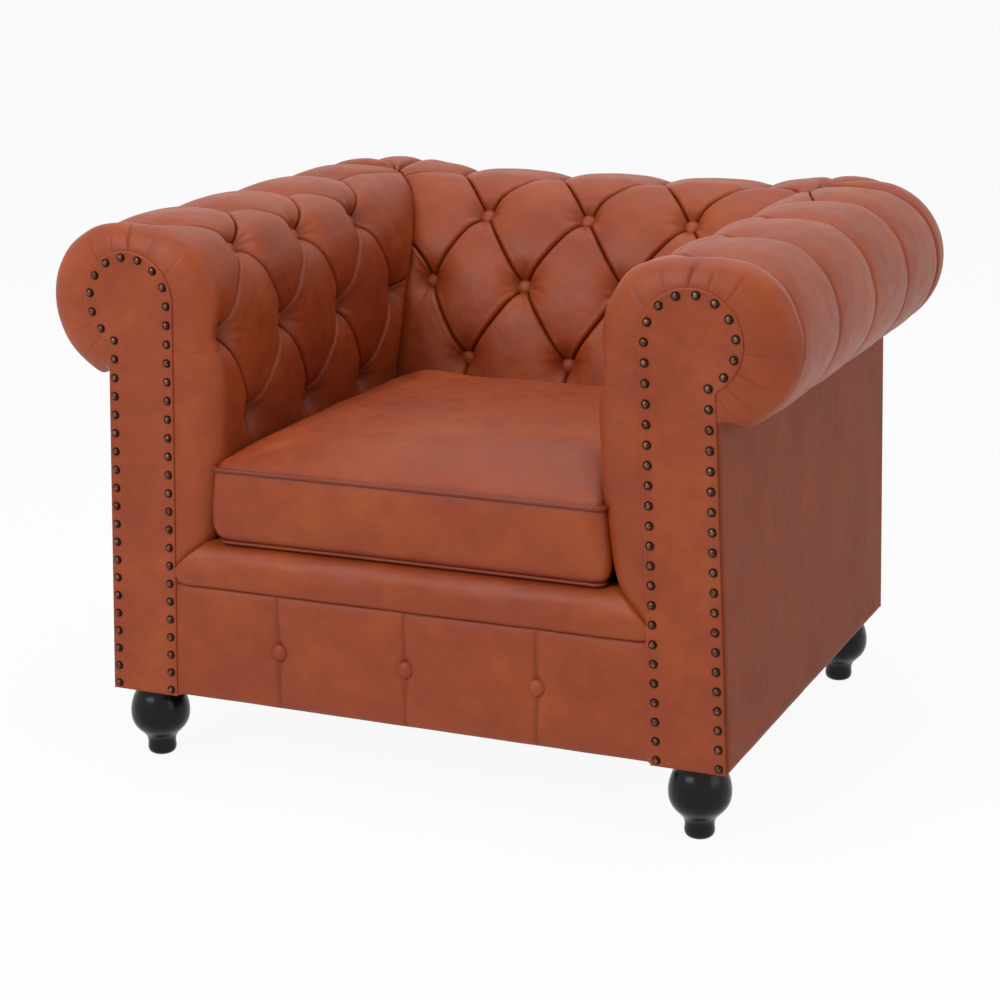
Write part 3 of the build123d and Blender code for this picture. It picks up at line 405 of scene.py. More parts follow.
def grid_mesh(name, rows, painted_shades, caps=True):
    """Closed mesh from rows of points that wrap round, with a painted shade value at each point."""
    count, width = rows.shape[:2]
    index = np.arange(count * width).reshape(count, width)
    ahead = np.roll(index, -1, axis=0)
    quads = np.stack([index[:, :-1], index[:, 1:], ahead[:, 1:], ahead[:, :-1]], axis=-1)
    faces = quads.reshape(-1, 4).tolist()
    if caps:
        faces += [index[:, 0].tolist(), index[::-1, -1].tolist()]
    mesh = bpy.data.meshes.new(name)
    mesh.from_pydata((rows.reshape(-1, 3) * MM).tolist(), [], faces)
    set_painted_shade(mesh, painted_shades.reshape(-1))
    work = bmesh.new()
    work.from_mesh(mesh)
    bmesh.ops.remove_doubles(work, verts=work.verts, dist=0.00008)
    bmesh.ops.dissolve_degenerate(work, edges=work.edges, dist=0.00002)
    bmesh.ops.recalc_face_normals(work, faces=work.faces)
    for face in work.faces:
        face.smooth = True
    work.to_mesh(mesh)
    work.free()
    return mesh


def dress(piece, look, nodes, body="chair"):
    """Give a piece its finish and body, in place of nodes of the frame."""
    piece.data.materials.clear()
    piece.data.materials.append(finish(look))
    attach(piece, body)
    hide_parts(*nodes)


def link_piece(name, data):
    """Put an object in the scene, at the origin."""
    piece = bpy.data.objects.new(name, data)
    bpy.context.scene.collection.objects.link(piece)
    return piece


def place_mesh(name, mesh, look, nodes, body="chair"):
    """Put a finished mesh in the scene in place of nodes of the frame."""
    piece = link_piece(name, mesh)
    dress(piece, look, nodes, body)
    return piece


def place_pair(part, mesh, look, node_name):
    """Put a right-hand mesh and its left-hand twin in the scene."""
    twin = mirrored(mesh, f"left_{part}")
    for side, made in (("right", mesh), ("left", twin)):
        place_mesh(f"{side}_{part}", made, look, [f"{side}_{node_name}"])


def mirrored(mesh, name):
    """Left-hand twin of a right-hand mesh."""
    twin = mesh.copy()
    twin.name = name
    twin.transform(Matrix.Scale(-1, 4, (1, 0, 0)))
    twin.flip_normals()
    return twin


def edge_at(low, high, z):
    """Place on a straight edge at a height."""
    return low[0] + (high[0] - low[0]) * (z - low[1]) / (high[1] - low[1])


def arm_in(z):
    """Inner edge of the arm frame at a height."""
    return edge_at(ARM_FOOT, ARM_TOUCH, z)


def side_x(z):
    """Outer side of the arm board at a height."""
    return edge_at(SIDE_LOW, SIDE_HIGH, z)


def rear_line(z):
    """Rear face of the outside back board at a height."""
    return edge_at(REAR_LOW, REAR_HIGH, z)


def closed_skin(name, outer, painted_shade, inner):
    """Closed mesh of an outer skin and the plainer rows behind it."""
    rows = np.concatenate([outer, inner], axis=0)
    painted_shades = np.concatenate([painted_shade, np.zeros(inner.shape[:2])], axis=0)
    return grid_mesh(name, rows, painted_shades)


def backed_skin(name, outer, painted_shade, axis, behind):
    """Closed mesh of an outer skin with a flat back, at a place along an axis."""
    inner = outer[[-1, 0]].copy()
    inner[:, :, axis] = behind
    return closed_skin(name, outer, painted_shade, inner)


def levels_of(marks, counts):
    """Levels of the rows, and the run along the crest at each."""
    names, runs = zip(*marks)
    rows = [np.linspace(names[k], names[k + 1], counts[k], endpoint=False) for k in range(len(counts))]
    v = np.concatenate(rows + [np.array([names[-1]])])
    return v, np.interp(v, names, runs)


# Buttons: places along the arm and across the back, and heights of the rows from the lowest
ARM_COLUMNS = (-303.0, -132.0, 39.0)
ARM_PITCH = 171.0
ARM_ROWS = (469, 589, 712)
BACK_PITCH = 164.0
BACK_MIDDLE = (-236.0, -82.0, 82.0, 236.0)
BACK_ROWS = (481, 594, 697)
PIT = 30.0
PIT_WIDE = 20.0
# Dimples on the roll: run before its top, depth and width
DIMPLE_RUN = 28.0
DIMPLE = 8.0
DIMPLE_WIDE = 22.0
# Corner of arm and back: where its roll begins, the depth of its crease and its button
ARM_CORNER_Z = 744.0
BACK_CORNER_Z = 741.9
CORNER_ROUND = 40.0
CORNER_CLEAR = 26.0
CORNER_SINK = (15.0, 25.0, 9.0)
CORNER_BUTTON_Z = 708.0
CORNER_BUTTON_PROUD = 15.0
RIPPLE = 0.55
# Front of the arm: the nose of the pad, the scroll of its facing, its join and its nails
NOSE = 34.0
NOSE_RUN = 70.0
SCROLL = (391.5, 650.5)
SCROLL_R = 67.0
NECK_TURN = -64.0
JOIN_Z = 588.0
FACING_Y = -444.5
# Width and rise, in metres, of each step of the facing's turned edge
FACING_EDGE = ((0.0010, 0.0009), (0.0014, 0.0003), (0.0020, -0.0008))
NAIL_Y = -447.6
NAIL_INSET = 8.5
NAIL_PITCH = 25.5
# Angle round the scroll, depth, bend along its length and reach of each gather
SCROLL_PLEATS = (
    (178, 2.1, 10, 0.5), (146, 2.8, -10, 0.55), (118, 2.8, -8, 0.55), (93, 4.6, -4, 0.97), (72, 2.7, 9, 0.5),
    (50, 2.8, 12, 0.6), (-8, 2.1, 4, 0.45), (-30, 2.5, -8, 0.5), (-48, 2.5, -8, 0.55))
# Radius and height of the turned foot
FOOT_PROFILE = (
    (9, 1.5), (15, 2.2), (18.6, 5.5), (19.8, 10), (19.4, 17), (19.8, 23), (22.5, 29), (29, 36), (35.5, 43.5),
    (39.8, 53), (41, 63), (40, 74), (36.5, 86), (32.5, 95), (30.5, 104))


def fold_wave(v):
    """Share of half a pitch that a crease stands off its top-row button, by level."""
    return np.interp(v, [-9, -1, 0, 1, 2, 9], [0, 0, 1, 0, 1, 1])


def channel_depth(run):
    """Depth of a pleat over the roll, by its run past the top."""
    return np.interp(run, [-30, 25, 70, 130, 200, 280], [13, 16, 13, 8, 6, 5])


def cell_columns(left, right, pitch, count, power, first=False):
    """Places, hollow share and gap to the nearest crease of one pillow, row by row."""
    u = np.linspace(-1, 1, count + 1)[0 if first else 1:]
    c = np.sin(u * math.pi / 2)[None, :]
    half = ((right - left) / 2)[:, None]
    mid = ((right + left) / 2)[:, None]
    x = np.clip(half / (pitch / 2), 0, 1)
    rise = np.sqrt(1 - (1 - x) ** 2)
    body = np.sqrt(np.clip(1 - np.abs(c) ** power[:, None], 0, 1))
    return mid + half * c, 1 - rise * body, (1 - np.abs(c)) * half


def hollows(t, s, pits):
    """Rounded pits that the buttons draw, with short radial gathers."""
    pit = np.zeros_like(t)
    pucker = np.zeros_like(t)
    for index, (bt, bs, deep, wide) in enumerate(pits):
        dx, dz = t - bt, s - bs
        r = np.hypot(dx, dz)
        pit += deep * np.exp(-(r / wide) ** 1.25)
        turn = np.arctan2(dz, dx)
        ring = np.exp(-((r - 21) / 11) ** 2) * (deep > 12)
        pucker += ring * np.cos(11 * turn + 1.7 * index) * (0.6 + 0.4 * np.cos(3 * turn + index))
    return pit, pucker


def groove(gap, deep):
    """Fine crease with a slight lip beside it."""
    return deep * (np.exp(-(gap / 1.9) ** 2) - 0.28 * np.exp(-((gap - 6.5) / 3.6) ** 2))


def corner_rim(rim, sink):
    """Rounding of a pad into the crease at the corner of arm and back."""
    share = np.clip(1 - rim / CORNER_ROUND, 0, 1)
    return sink[:, None] * (1 - np.sqrt(np.clip(1 - share ** 2, 0, 1)))


def arm_tilt(t):
    """Rise of the button rows of an arm towards the front."""
    return 0.075 * np.clip(-150 - t, 0, 260) - 0.05 * np.clip(t + 150, 0, 260)


def arm_hold(v):
    """Share of that rise, by level."""
    return np.interp(v, [-2.5, -1.2, 1, 1.9], [0, 1, 1, 0])


def arm_lean(v):
    """How far forward the lower rows of the arm stand, by level."""
    return np.interp(v, [-2.5, -1, 0, 1, 2], [-26, -26, -16, -5, 0])


def row_marks(crest, heights):
    """Levels of the button rows on a pad, and of the dimples on its roll, by run along its crest."""
    rows = [(level, crest.run_to(z)) for level, z in zip((-1.0, 0.0, 1.0), heights)]
    return [(-2.5, 0.0)] + rows + [(2.0, crest.s[crest.top] - DIMPLE_RUN), (5.0, crest.s[-1])]


def arm_sway(index, run):
    """How far a pleat over the roll strays along the arm."""
    if index == 0:
        return np.interp(run, [-28, 50, 95, 140, 200, 280], [18, 16, 2, -14, -24, -26])
    return np.interp(run, [-28, 50, 100, 150, 280], [4, 2, -16, -30, -40])


def corner_depth(s, crest, top):
    """Depth of the crease at the corner, drawn in further by its button."""
    button = 8 * np.exp(-((s - crest.run_to(CORNER_BUTTON_Z)) / 22) ** 2)
    return np.interp(s, [crest.run_to(600), crest.run_to(690), top], CORNER_SINK) + button


def pad_end(s, crest, other, corner_z, limit):
    """Far end of each row of a pad, where it meets the other pad or the corner."""
    top = crest.run_to(corner_z)
    sink = corner_depth(s, crest, top)
    point, out = crest.at(s)
    drawn = point[:, 1] - out[:, 1] * sink
    meet = np.array([float(other.sunk(d, z)) for d, z in zip(sink, drawn)])
    return np.where(s >= top, limit, np.minimum(meet, limit)), sink


def arm_end(s):
    """Far end of each row of the arm pad, and the depth of the crease there."""
    return pad_end(s, ARM_CREST, BACK_CREST, ARM_CORNER_Z, CORNER[1])


def back_end(s):
    """Half width of each row of the back pad, and the depth of the crease there."""
    return pad_end(s, BACK_CREST, ARM_CREST, BACK_CORNER_Z, CORNER[0])


def row_runs(v, s):
    """Run along the crest of each row of buttons and dimples, by level."""
    return {k: float(np.interp(k, v, s)) for k in (-1, 0, 1, 2)}


def arm_middle():
    """Places of the middle row of buttons along the arm."""
    half = ARM_PITCH / 2
    return [t - half for t in ARM_COLUMNS] + [ARM_COLUMNS[-1] + half]


def pad_rows(crest, heights, counts, crease):
    """Levels and runs of a pad's rows, the sink of its pillows' edges and their fullness."""
    v, s = levels_of(row_marks(crest, heights), counts)
    sink = np.interp(v, [-2.5, -1.5, -1, 1, 2], [4, 7, crease, crease, 13])
    sink = np.where(v > 2, channel_depth(s - crest.s[crest.top]), sink)
    power = np.interp(v, [-2, 1.6, 2.4, 3.4], [2.8, 2.8, 2.7, 3.4])
    return v, s, sink, power


def join_cells(cells):
    """Places, hollow shares and gaps of pillows side by side, as one set of columns."""
    return [np.concatenate(part, axis=1) for part in zip(*cells)]


def pillows(edges, pitch, count, power, first):
    """Pillows between creases, the first with its own left edge if asked."""
    return [cell_columns(left, right, pitch, count, power, first and k == 0)
            for k, (left, right) in enumerate(zip(edges, edges[1:]))]


def tuft_depth(tuft, v, sink, cells, rows_s, pits, rim, corner_sink, shift):
    """Depth of each point of a pad below its crest, and the part that its pits take."""
    t, hollow, gap = cells
    line = np.interp(v, [-2.5, -1.3, -1, 2, 3, 5], [1.4, 2.4, 3.3, 3.2, 2.6, 2.0])[:, None]
    pit, pucker = hollows(t, rows_s, pits)
    depth = np.maximum(sink[:, None] * hollow + groove(gap, line), corner_rim(rim, corner_sink))
    depth = depth + pit * np.clip(rim / CORNER_CLEAR, 0, 1)
    return depth - pucker * tuft.pucker / MM - ripple(t + shift, rows_s, RIPPLE), pit


def arm_root(s):
    """Edge of the facing that each row of the arm pad runs to at the front."""
    marks = [0.0] + [ARM_CREST.run_to(z) for z in (345, 470, 592, 650)]
    heights = [285, 352, 488, 604, 655]
    over = ARM_CREST.s[ARM_CREST.top]
    stop = ARM_CREST.s[-1]
    turns_s = [marks[-1], ARM_CREST.run_to(712), over, over + 84, over + 168, over + 225, stop - 30]
    turns = [178, 140, 86, 45, 3, -28, NECK_TURN]
    z = np.interp(s, marks, heights)
    angle = np.radians(np.interp(s, turns_s, turns))
    r = SCROLL_R - 1
    flat = np.stack([arm_in(z) + 1, z], axis=-1)
    ring = np.stack([SCROLL[0] + r * np.cos(angle), SCROLL[1] + r * np.sin(angle)], axis=-1)
    share = np.clip((s - marks[-2]) / (marks[-1] - marks[-2]), 0, 1)[:, None]
    edge = flat + (ring - flat) * share
    # Below the scroll the leather closes on the side of the facing
    down = np.clip((s - stop + 30) / 30, 0, 1)
    low = SCROLL[1] + r * math.sin(math.radians(NECK_TURN))
    neck_z = low + (PANEL_TOP + 3 - low) * down
    neck = np.stack([side_x(neck_z) - 1, neck_z], axis=-1)
    return np.where((down > 0)[:, None], neck, edge)


def arm_pits(v, s):
    """Pits of the arm: place along it, run up it, depth and width."""
    runs = row_runs(v, s)
    pits = [(t + arm_lean(row), runs[row], PIT, PIT_WIDE) for row in (1, -1) for t in ARM_COLUMNS]
    pits += [(t + arm_lean(0), runs[0], PIT, PIT_WIDE) for t in arm_middle()]
    past = runs[2] - ARM_CREST.s[ARM_CREST.top]
    pits += [(t + float(arm_sway(k, past)), runs[2], DIMPLE, DIMPLE_WIDE)
             for k, t in enumerate(arm_middle())]
    return pits


def arm_edges(v, run, end):
    """Creases between the pillows of the arm, row by row, from the front to the corner."""
    half = ARM_PITCH / 2
    near = fold_wave(v)
    strays = np.clip(v - 1, 0, 1)
    edges = []
    for k, centre in enumerate(ARM_COLUMNS):
        for step, way in ((0, -1), (1, 1)):
            edges.append(centre + arm_lean(v) + way * half * near + strays * arm_sway(k + step, run))
    share = np.interp(v, [0, 0.16, 1.55, 2], [0, 1, 1, 0])
    edges += [edges[-1] + (end - edges[-1]) * share, end]
    return [np.minimum(edge, end) for edge in edges]


def front_pillow(begin, edge, power):
    """Columns of the arm's front pillow, from the edge of the facing to the first crease."""
    u = np.concatenate([np.linspace(0, 0.7, 36, endpoint=False),
                        0.7 + 0.3 * np.sin(np.linspace(0, 1, 21) * math.pi / 2)])
    t = begin + (edge[:, None] - begin) * u[None, :]
    gap = edge[:, None] - t
    wide = np.minimum(74, 0.7 * (edge - begin))[:, None]
    hollow = 1 - np.sqrt(np.clip(1 - np.clip(1 - gap / wide, 0, 1) ** power[:, None], 0, 1))
    return t, hollow, gap


def arm_inside(columns):
    """Hidden side of the arm pad, behind the facing and against the frame."""
    path = [(421, 561), (416, 586)]
    path += round_points(FACE_CENTRE, FACE_R - 1.5, (-58, -36, -12, 14, 40, 66, 92, 118, 146, 176))
    path += [(arm_in(z) + 1.2, z) for z in (560, 430, 300)]
    along = np.linspace(FRONT_Y + 1, CORNER[1] - 1, columns)
    return np.array([[(x, y, z) for y in along] for x, z in path])


def arm_mesh(tuft):
    """Buttoned pad of the right arm."""
    crest = ARM_CREST
    v, s, sink, power = pad_rows(crest, ARM_ROWS, (24, 34, 36, 40, 216), tuft.crease / MM)
    hold = arm_hold(v)
    end, corner_sink = arm_end(s + hold * float(arm_tilt(np.float64(150))))
    edges = arm_edges(v, s - crest.s[crest.top], end)
    begin = FRONT_Y + NOSE - NOSE_RUN
    cells = join_cells(
        [front_pillow(begin, edges[0], power)] + pillows(edges, ARM_PITCH, 26, power, False))
    t, _, gap = cells
    rows_s = np.repeat(s[:, None], t.shape[1], axis=1)
    rim = np.abs(t - end[:, None])
    depth, pit = tuft_depth(tuft, v, sink, cells, rows_s, arm_pits(v, s), rim, corner_sink, 0)
    # Nose: the leather rolls over the front to the facing
    q = np.clip((t - begin) / NOSE_RUN, 0, 1)
    swell = np.sin(q * math.pi / 2)
    y = np.where(q < 1, FRONT_Y + NOSE * (1 - np.cos(q * math.pi / 2)), t)
    root = arm_root(s)[:, None, :]
    point, out = crest.at(rows_s + hold[:, None] * arm_tilt(t))
    flat = root + (point - root) * swell[:, :, None]
    pleat = scroll_pleats(root[:, 0], q) * (s > crest.run_to(640))[:, None]
    # Stitched join across the front pillow, near the middle row
    join = np.exp(-((flat[:, :, 1] - JOIN_Z) / 1.6) ** 2)
    join = join * (t < edges[0][:, None] - 8) * (v < 1)[:, None]
    pleat = pleat + 1.5 * join * np.clip(q / 0.1, 0, 1)
    flat = flat - out * (depth * swell + pleat)[:, :, None]
    outer = np.stack([flat[:, :, 0], y, flat[:, :, 1]], axis=-1)
    # Painted shade in the creases, pits, scroll gathers and stitched join of the arm
    painted_shade = np.maximum(painted_crease_shade(gap, pit, v), np.clip(pleat / 5, 0, 0.75))
    return closed_skin("right_arm_upholstery", outer, painted_shade, arm_inside(t.shape[1]))


def painted_crease_shade(gap, pit, v):
    """Painted shade: darker leather in creases and in the deeper part of pits."""
    fade = np.interp(v, [-2.5, -1.2, 2, 3.2, 5], [0.5, 1, 1, 0.8, 0.65])[:, None]
    deep = np.clip((pit - DIMPLE) / (PIT - DIMPLE), 0, 1) ** 0.8
    return np.clip(0.75 * np.exp(-(gap / 1.5) ** 2) * fade + 0.5 * deep, 0, 0.85)


def scroll_pleats(root, q):
    """Gathers that run out from the facing round the scroll."""
    turn = np.degrees(np.arctan2(root[:, 1] - SCROLL[1], root[:, 0] - SCROLL[0]))[:, None]
    pleat = np.zeros_like(q)
    for angle, deep, bend, reach in SCROLL_PLEATS:
        off = turn - angle - bend * q
        wide = 1.0 + 0.9 * q
        fade = np.clip(1 - q / reach, 0, 1) ** 0.6 * np.clip(q / 0.04, 0.3, 1)
        pleat += deep * fade * np.exp(-(off / wide) ** 2)
        pleat -= 0.5 * deep * fade * np.exp(-((off - 2.4 * wide) / (1.7 * wide)) ** 2)
    return pleat


def back_pits(v, s):
    """Pits of the back: place across it, run up it, depth and width."""
    runs = row_runs(v, s)
    pits = [(k * BACK_PITCH, runs[row], PIT, PIT_WIDE) for row in (1, -1) for k in (-1, 0, 1)]
    pits += [(x, runs[0], PIT, PIT_WIDE) for x in BACK_MIDDLE]
    pits += [(k * BACK_PITCH, runs[2], DIMPLE, DIMPLE_WIDE) for k in (-1.5, -0.5, 0.5, 1.5)]
    return pits


def back_edges(v, end):
    """Creases between the pillows of the back, row by row, from side to side."""
    half = BACK_PITCH / 2
    near = fold_wave(v)
    draw = (1.5 * BACK_PITCH - BACK_MIDDLE[-1]) * np.exp(-(v / 0.5) ** 2)
    right = [half * near, BACK_PITCH - half * near, BACK_PITCH + half * near - draw]
    share = np.interp(v, [0, 0.55, 1.55, 2], [0, 1, 1, 0])
    right += [right[-1] + (end - right[-1]) * share, end]
    return [np.clip(edge, -end, end) for edge in [-e for e in reversed(right)] + right]


def back_inside(columns):
    """Hidden side of the back pad, against the frame, narrower between the arms."""
    wide = CORNER[0] - 2
    path = [(335, 560)] + round_points((343, ROLL_Z), 62.6, (-60, -20, 20, 60, 100, 140, 165))
    path += [(258, 560), (225, 430), (176, 300)]
    across = np.linspace(-1, 1, columns) * wide
    under = np.array([[(x, y, z) for x in across] for y, z in path])
    under[-3:, :, 0] *= 258 / wide
    return under


def back_mesh(tuft):
    """Buttoned pad of the back, out to both corners."""
    crest = BACK_CREST
    v, s, sink, power = pad_rows(crest, BACK_ROWS, (26, 38, 40, 40, 100), tuft.crease / MM)
    end, corner_sink = back_end(s)
    cells = join_cells(pillows(back_edges(v, end), BACK_PITCH, 32, power, True))
    t, _, gap = cells
    rows_s = np.repeat(s[:, None], t.shape[1], axis=1)
    rim = end[:, None] - np.abs(t)
    depth, pit = tuft_depth(tuft, v, sink, cells, rows_s, back_pits(v, s), rim, corner_sink, 40)
    # The top of the roll has settled between the corners
    slump = np.interp(v, [1, 1.8, 2.2, 2.9, 3.8], [0, 7, 13, 13, 0])[:, None]
    depth = depth + slump * np.clip(1 - (np.abs(t) / 325) ** 6, 0, 1)
    point, out = crest.at(rows_s)
    flat = point - out * depth[:, :, None]
    outer = np.stack([t, flat[:, :, 0], flat[:, :, 1]], axis=-1)
    return closed_skin("back_upholstery", outer, painted_crease_shade(gap, pit, v), back_inside(t.shape[1]))


def corner_mesh():
    """Quarter turn of the roll where the right arm meets the back."""
    count = 170
    arm_s = np.linspace(ARM_CREST.run_to(ARM_CORNER_Z), ARM_CREST.s[-1], count)
    back_s = np.linspace(BACK_CREST.run_to(BACK_CORNER_Z), BACK_CREST.s[-1], count)
    arm = (ARM_CREST.at(arm_s)[0] - (CORNER[0], 0))[:, None, :]
    back = (BACK_CREST.at(back_s)[0] - (CORNER[1], 0))[:, None, :]
    share = np.linspace(0, 1, count)
    sink = channel_depth(arm_s - ARM_CREST.s[ARM_CREST.top])
    power = np.interp(share, [0.1, 0.5], [2.4, 3.2])
    zero = np.zeros(count)
    # Two pillows in the quarter turn, in degrees
    edges = [zero, zero + 46 - 6 * np.sin(share * 2.4), zero + 90]
    turn, hollow, gap = join_cells(pillows(edges, 30.0, 34, power, True))
    turn = np.radians(turn)
    gap = np.radians(gap) * np.maximum(np.abs(arm[:, :, 0]), 1)
    depth = (sink[:, None] * hollow + groove(gap, 2.4)) * np.clip(share / 0.06, 0, 1)[:, None]
    flat = arm + (back - arm) * np.sin(turn)[:, :, None] ** 2
    slope = np.gradient(flat, axis=0)
    slope /= np.linalg.norm(slope, axis=2)[:, :, None] + 1e-9
    out = np.stack([-slope[:, :, 1], slope[:, :, 0]], axis=-1)
    flat = flat - out * depth[:, :, None]
    flat[:, :, 1] -= np.interp(share, [0, 0.05], [CORNER_SINK[2], 0])[:, None]
    flat[0, :, 0] = 0
    x = CORNER[0] + flat[:, :, 0] * np.cos(turn)
    y = CORNER[1] + flat[:, :, 0] * np.sin(turn)
    outer = np.stack([x, y, flat[:, :, 1]], axis=-1)
    # Painted shade along the crease between the corner's two pillows
    painted_shade = np.clip(0.65 * np.exp(-(gap / 2.3) ** 2), 0, 1)
    path = [(70, 566), (40, 590), (1, 600), (1, 690)]
    under = np.array([[(CORNER[0] + r * math.cos(a), CORNER[1] + r * math.sin(a), z)
                       for a in turn[-1]] for r, z in path])
    return closed_skin("right_corner_upholstery", outer, painted_shade, under)


def dome_mesh(radius, segments, rings, cut, squash):
    """Upper part of a sphere, cut level at a share of its radius below the middle and flattened."""
    clear_selection()
    bpy.ops.mesh.primitive_uv_sphere_add(
        segments=segments, ring_count=rings, radius=radius, location=(0, 0, 0))
    piece = bpy.context.object
    bpy.ops.object.mode_set(mode="EDIT")
    bpy.ops.mesh.select_all(action="SELECT")
    bpy.ops.mesh.bisect(
        plane_co=(0, 0, -radius * cut), plane_no=(0, 0, 1), clear_inner=True, use_fill=True)
    bpy.ops.mesh.select_all(action="SELECT")
    bpy.ops.transform.resize(value=(1, 1, squash))
    bpy.ops.object.mode_set(mode="OBJECT")
    bpy.ops.object.shade_smooth()
    mesh = piece.data
    bpy.data.objects.remove(piece)
    return mesh


def set_painted_shade(mesh, values):
    """Write a painted shade value on each point of a mesh."""
    layer = mesh.attributes.new("painted_shade", "FLOAT", "POINT")
    layer.data.foreach_set("value", np.asarray(values, np.float32))


def button_mesh(radius):
    """One covered button on the floor plane, its gathers drawn over the edge."""
    mesh = dome_mesh(radius, 28, 14, 0.42, 0.58)
    for vertex in mesh.vertices:
        turn = math.atan2(vertex.co.y, vertex.co.x)
        edge = max(0.0, 1 - abs(vertex.co.z) / (radius * 0.5))
        swell = 1 + 0.03 * edge * math.cos(8 * turn)
        vertex.co.x *= swell
        vertex.co.y *= swell
    return mesh


def join_copies(name, mesh, seats):
    """One mesh of copies of a part, each set on its own seat."""
    work = bmesh.new()
    for seat in seats:
        copy = mesh.copy()
        copy.transform(seat)
        work.from_mesh(copy)
        bpy.data.meshes.remove(copy)
    joined = bpy.data.meshes.new(name)
    work.to_mesh(joined)
    work.free()
    return joined


def seat_on(place, out):
    """Turn and shift that set a part on a place, facing out."""
    turn = Vector(out).to_track_quat("Z", "Y").to_matrix().to_4x4()
    return Matrix.Translation(Vector(place) * MM) @ turn


def tuft_seats(crest, heights, depth, places, along_y):
    """Seats of the buttons of a pad, from levels and places along it."""
    names, runs = zip(*row_marks(crest, heights))
    seats = []
    for level, t in places:
        run = float(np.interp(level, names, runs))
        if along_y:
            run += float(arm_tilt(np.float64(t)) * arm_hold(level))
        point, out = crest.at(np.array([run]))
        x, z = point[0] - out[0] * depth
        if along_y:
            seats.append(seat_on((x, t, z), (out[0][0], 0, out[0][1])))
        else:
            seats.append(seat_on((t, x, z), (0, out[0][0], out[0][1])))
    return seats


def corner_seat():
    """Seat of the button in the corner of arm and back."""
    run = np.array([ARM_CREST.run_to(CORNER_BUTTON_Z)])
    point, out = ARM_CREST.at(run)
    far, sink = arm_end(run)
    x, z = point[0] - out[0] * (sink[0] - CORNER_BUTTON_PROUD)
    return seat_on((x, far[0] - CORNER_BUTTON_PROUD, z), (-0.6, -0.6, 0.52))


def facing_outline(inset, steps=30):
    """Keyhole outline of an arm front, drawn in by an inset, as x and z."""
    low = FOOT_TOP + inset
    r = SCROLL_R - inset
    drop = SCROLL[1] + r * math.sin(math.radians(NECK_TURN))
    points = [(arm_in(low) + inset, low), (side_x(low) - inset, low), (side_x(drop) - inset, drop)]
    start = math.degrees(math.atan2(drop - SCROLL[1], side_x(drop) - inset - SCROLL[0]))
    points += round_points(SCROLL, r, np.linspace(start, 178, steps)[1:])
    return points


class CHAIR_OT_upholster_arms(bpy.types.Operator):
    """Buttoned pads of both arms, with the leather rolled over their fronts"""
    bl_idname = "chair.upholster_arms"
    bl_label = "Upholster arms"

    def execute(self, context):
        place_pair("arm_upholstery", arm_mesh(context.scene.chair_tuft), "leather", "arm_pad")
        return {"FINISHED"}


class CHAIR_OT_upholster_back(bpy.types.Operator):
    """Buttoned pad of the back and the two corners of the roll"""
    bl_idname = "chair.upholster_back"
    bl_label = "Upholster back"

    def execute(self, context):
        mesh = back_mesh(context.scene.chair_tuft)
        place_mesh("back_upholstery", mesh, "leather", ["back_pad"])
        place_pair("corner_upholstery", corner_mesh(), "leather", "corner_pad")
        return {"FINISHED"}


class CHAIR_OT_cover_buttons(bpy.types.Operator):
    """Covered buttons of the arms, the back and the front border"""
    bl_idname = "chair.cover_buttons"
    bl_label = "Cover buttons"

    def execute(self, context):
        tuft = context.scene.chair_tuft
        depth = tuft.button_depth / MM
        button = button_mesh(tuft.button)
        arm = [(level, t + arm_lean(level)) for level in (1, -1) for t in ARM_COLUMNS]
        arm += [(0, t + arm_lean(0)) for t in arm_middle()]
        seats = tuft_seats(ARM_CREST, ARM_ROWS, depth, arm, True) + [corner_seat()]
        mesh = join_copies("right_arm_covered_buttons", button, seats)
        place_pair("arm_covered_buttons", mesh, "leather", "arm_buttons")
        back = [(level, k * BACK_PITCH) for level in (1, -1) for k in (-1, 0, 1)]
        back += [(0, x) for x in BACK_MIDDLE]
        sets = (
            ("back", tuft_seats(BACK_CREST, BACK_ROWS, depth, back, False)),
            ("front", [seat_on((x, border_front(x, BORDER_BUTTON_Z) - 1.5, BORDER_BUTTON_Z), (0, -1, 0))
                       for x in BORDER_SEAMS]))
        for part, seats in sets:
            name = f"{part}_covered_buttons"
            place_mesh(name, join_copies(name, button, seats), "leather", [f"{part}_buttons"])
        return {"FINISHED"}


def nail_seats(inset, pitch):
    """Even places of the nails up one edge of a facing, round its scroll and down the other."""
    p = np.array(facing_outline(inset, 60))
    line = np.concatenate([p[1:], p[:1]])
    run = np.concatenate([[0], np.cumsum(np.linalg.norm(np.diff(line, axis=0), axis=1))])
    count = round(run[-1] / pitch)
    at = np.linspace(0, run[-1], count + 1)
    return np.stack([np.interp(at, run, line[:, 0]), np.interp(at, run, line[:, 1])], axis=-1)


def nail_mesh(radius):
    """One domed nail, with painted shade that darkens it towards its rim."""
    mesh = dome_mesh(radius, 18, 10, 0.1, 0.62)
    reach = [math.hypot(v.co.x, v.co.y) / radius for v in mesh.vertices]
    # Painted shade that darkens the dome towards its rim
    set_painted_shade(mesh, [min(1.0, max(0.0, r - 0.3) / 0.42) for r in reach])
    return mesh


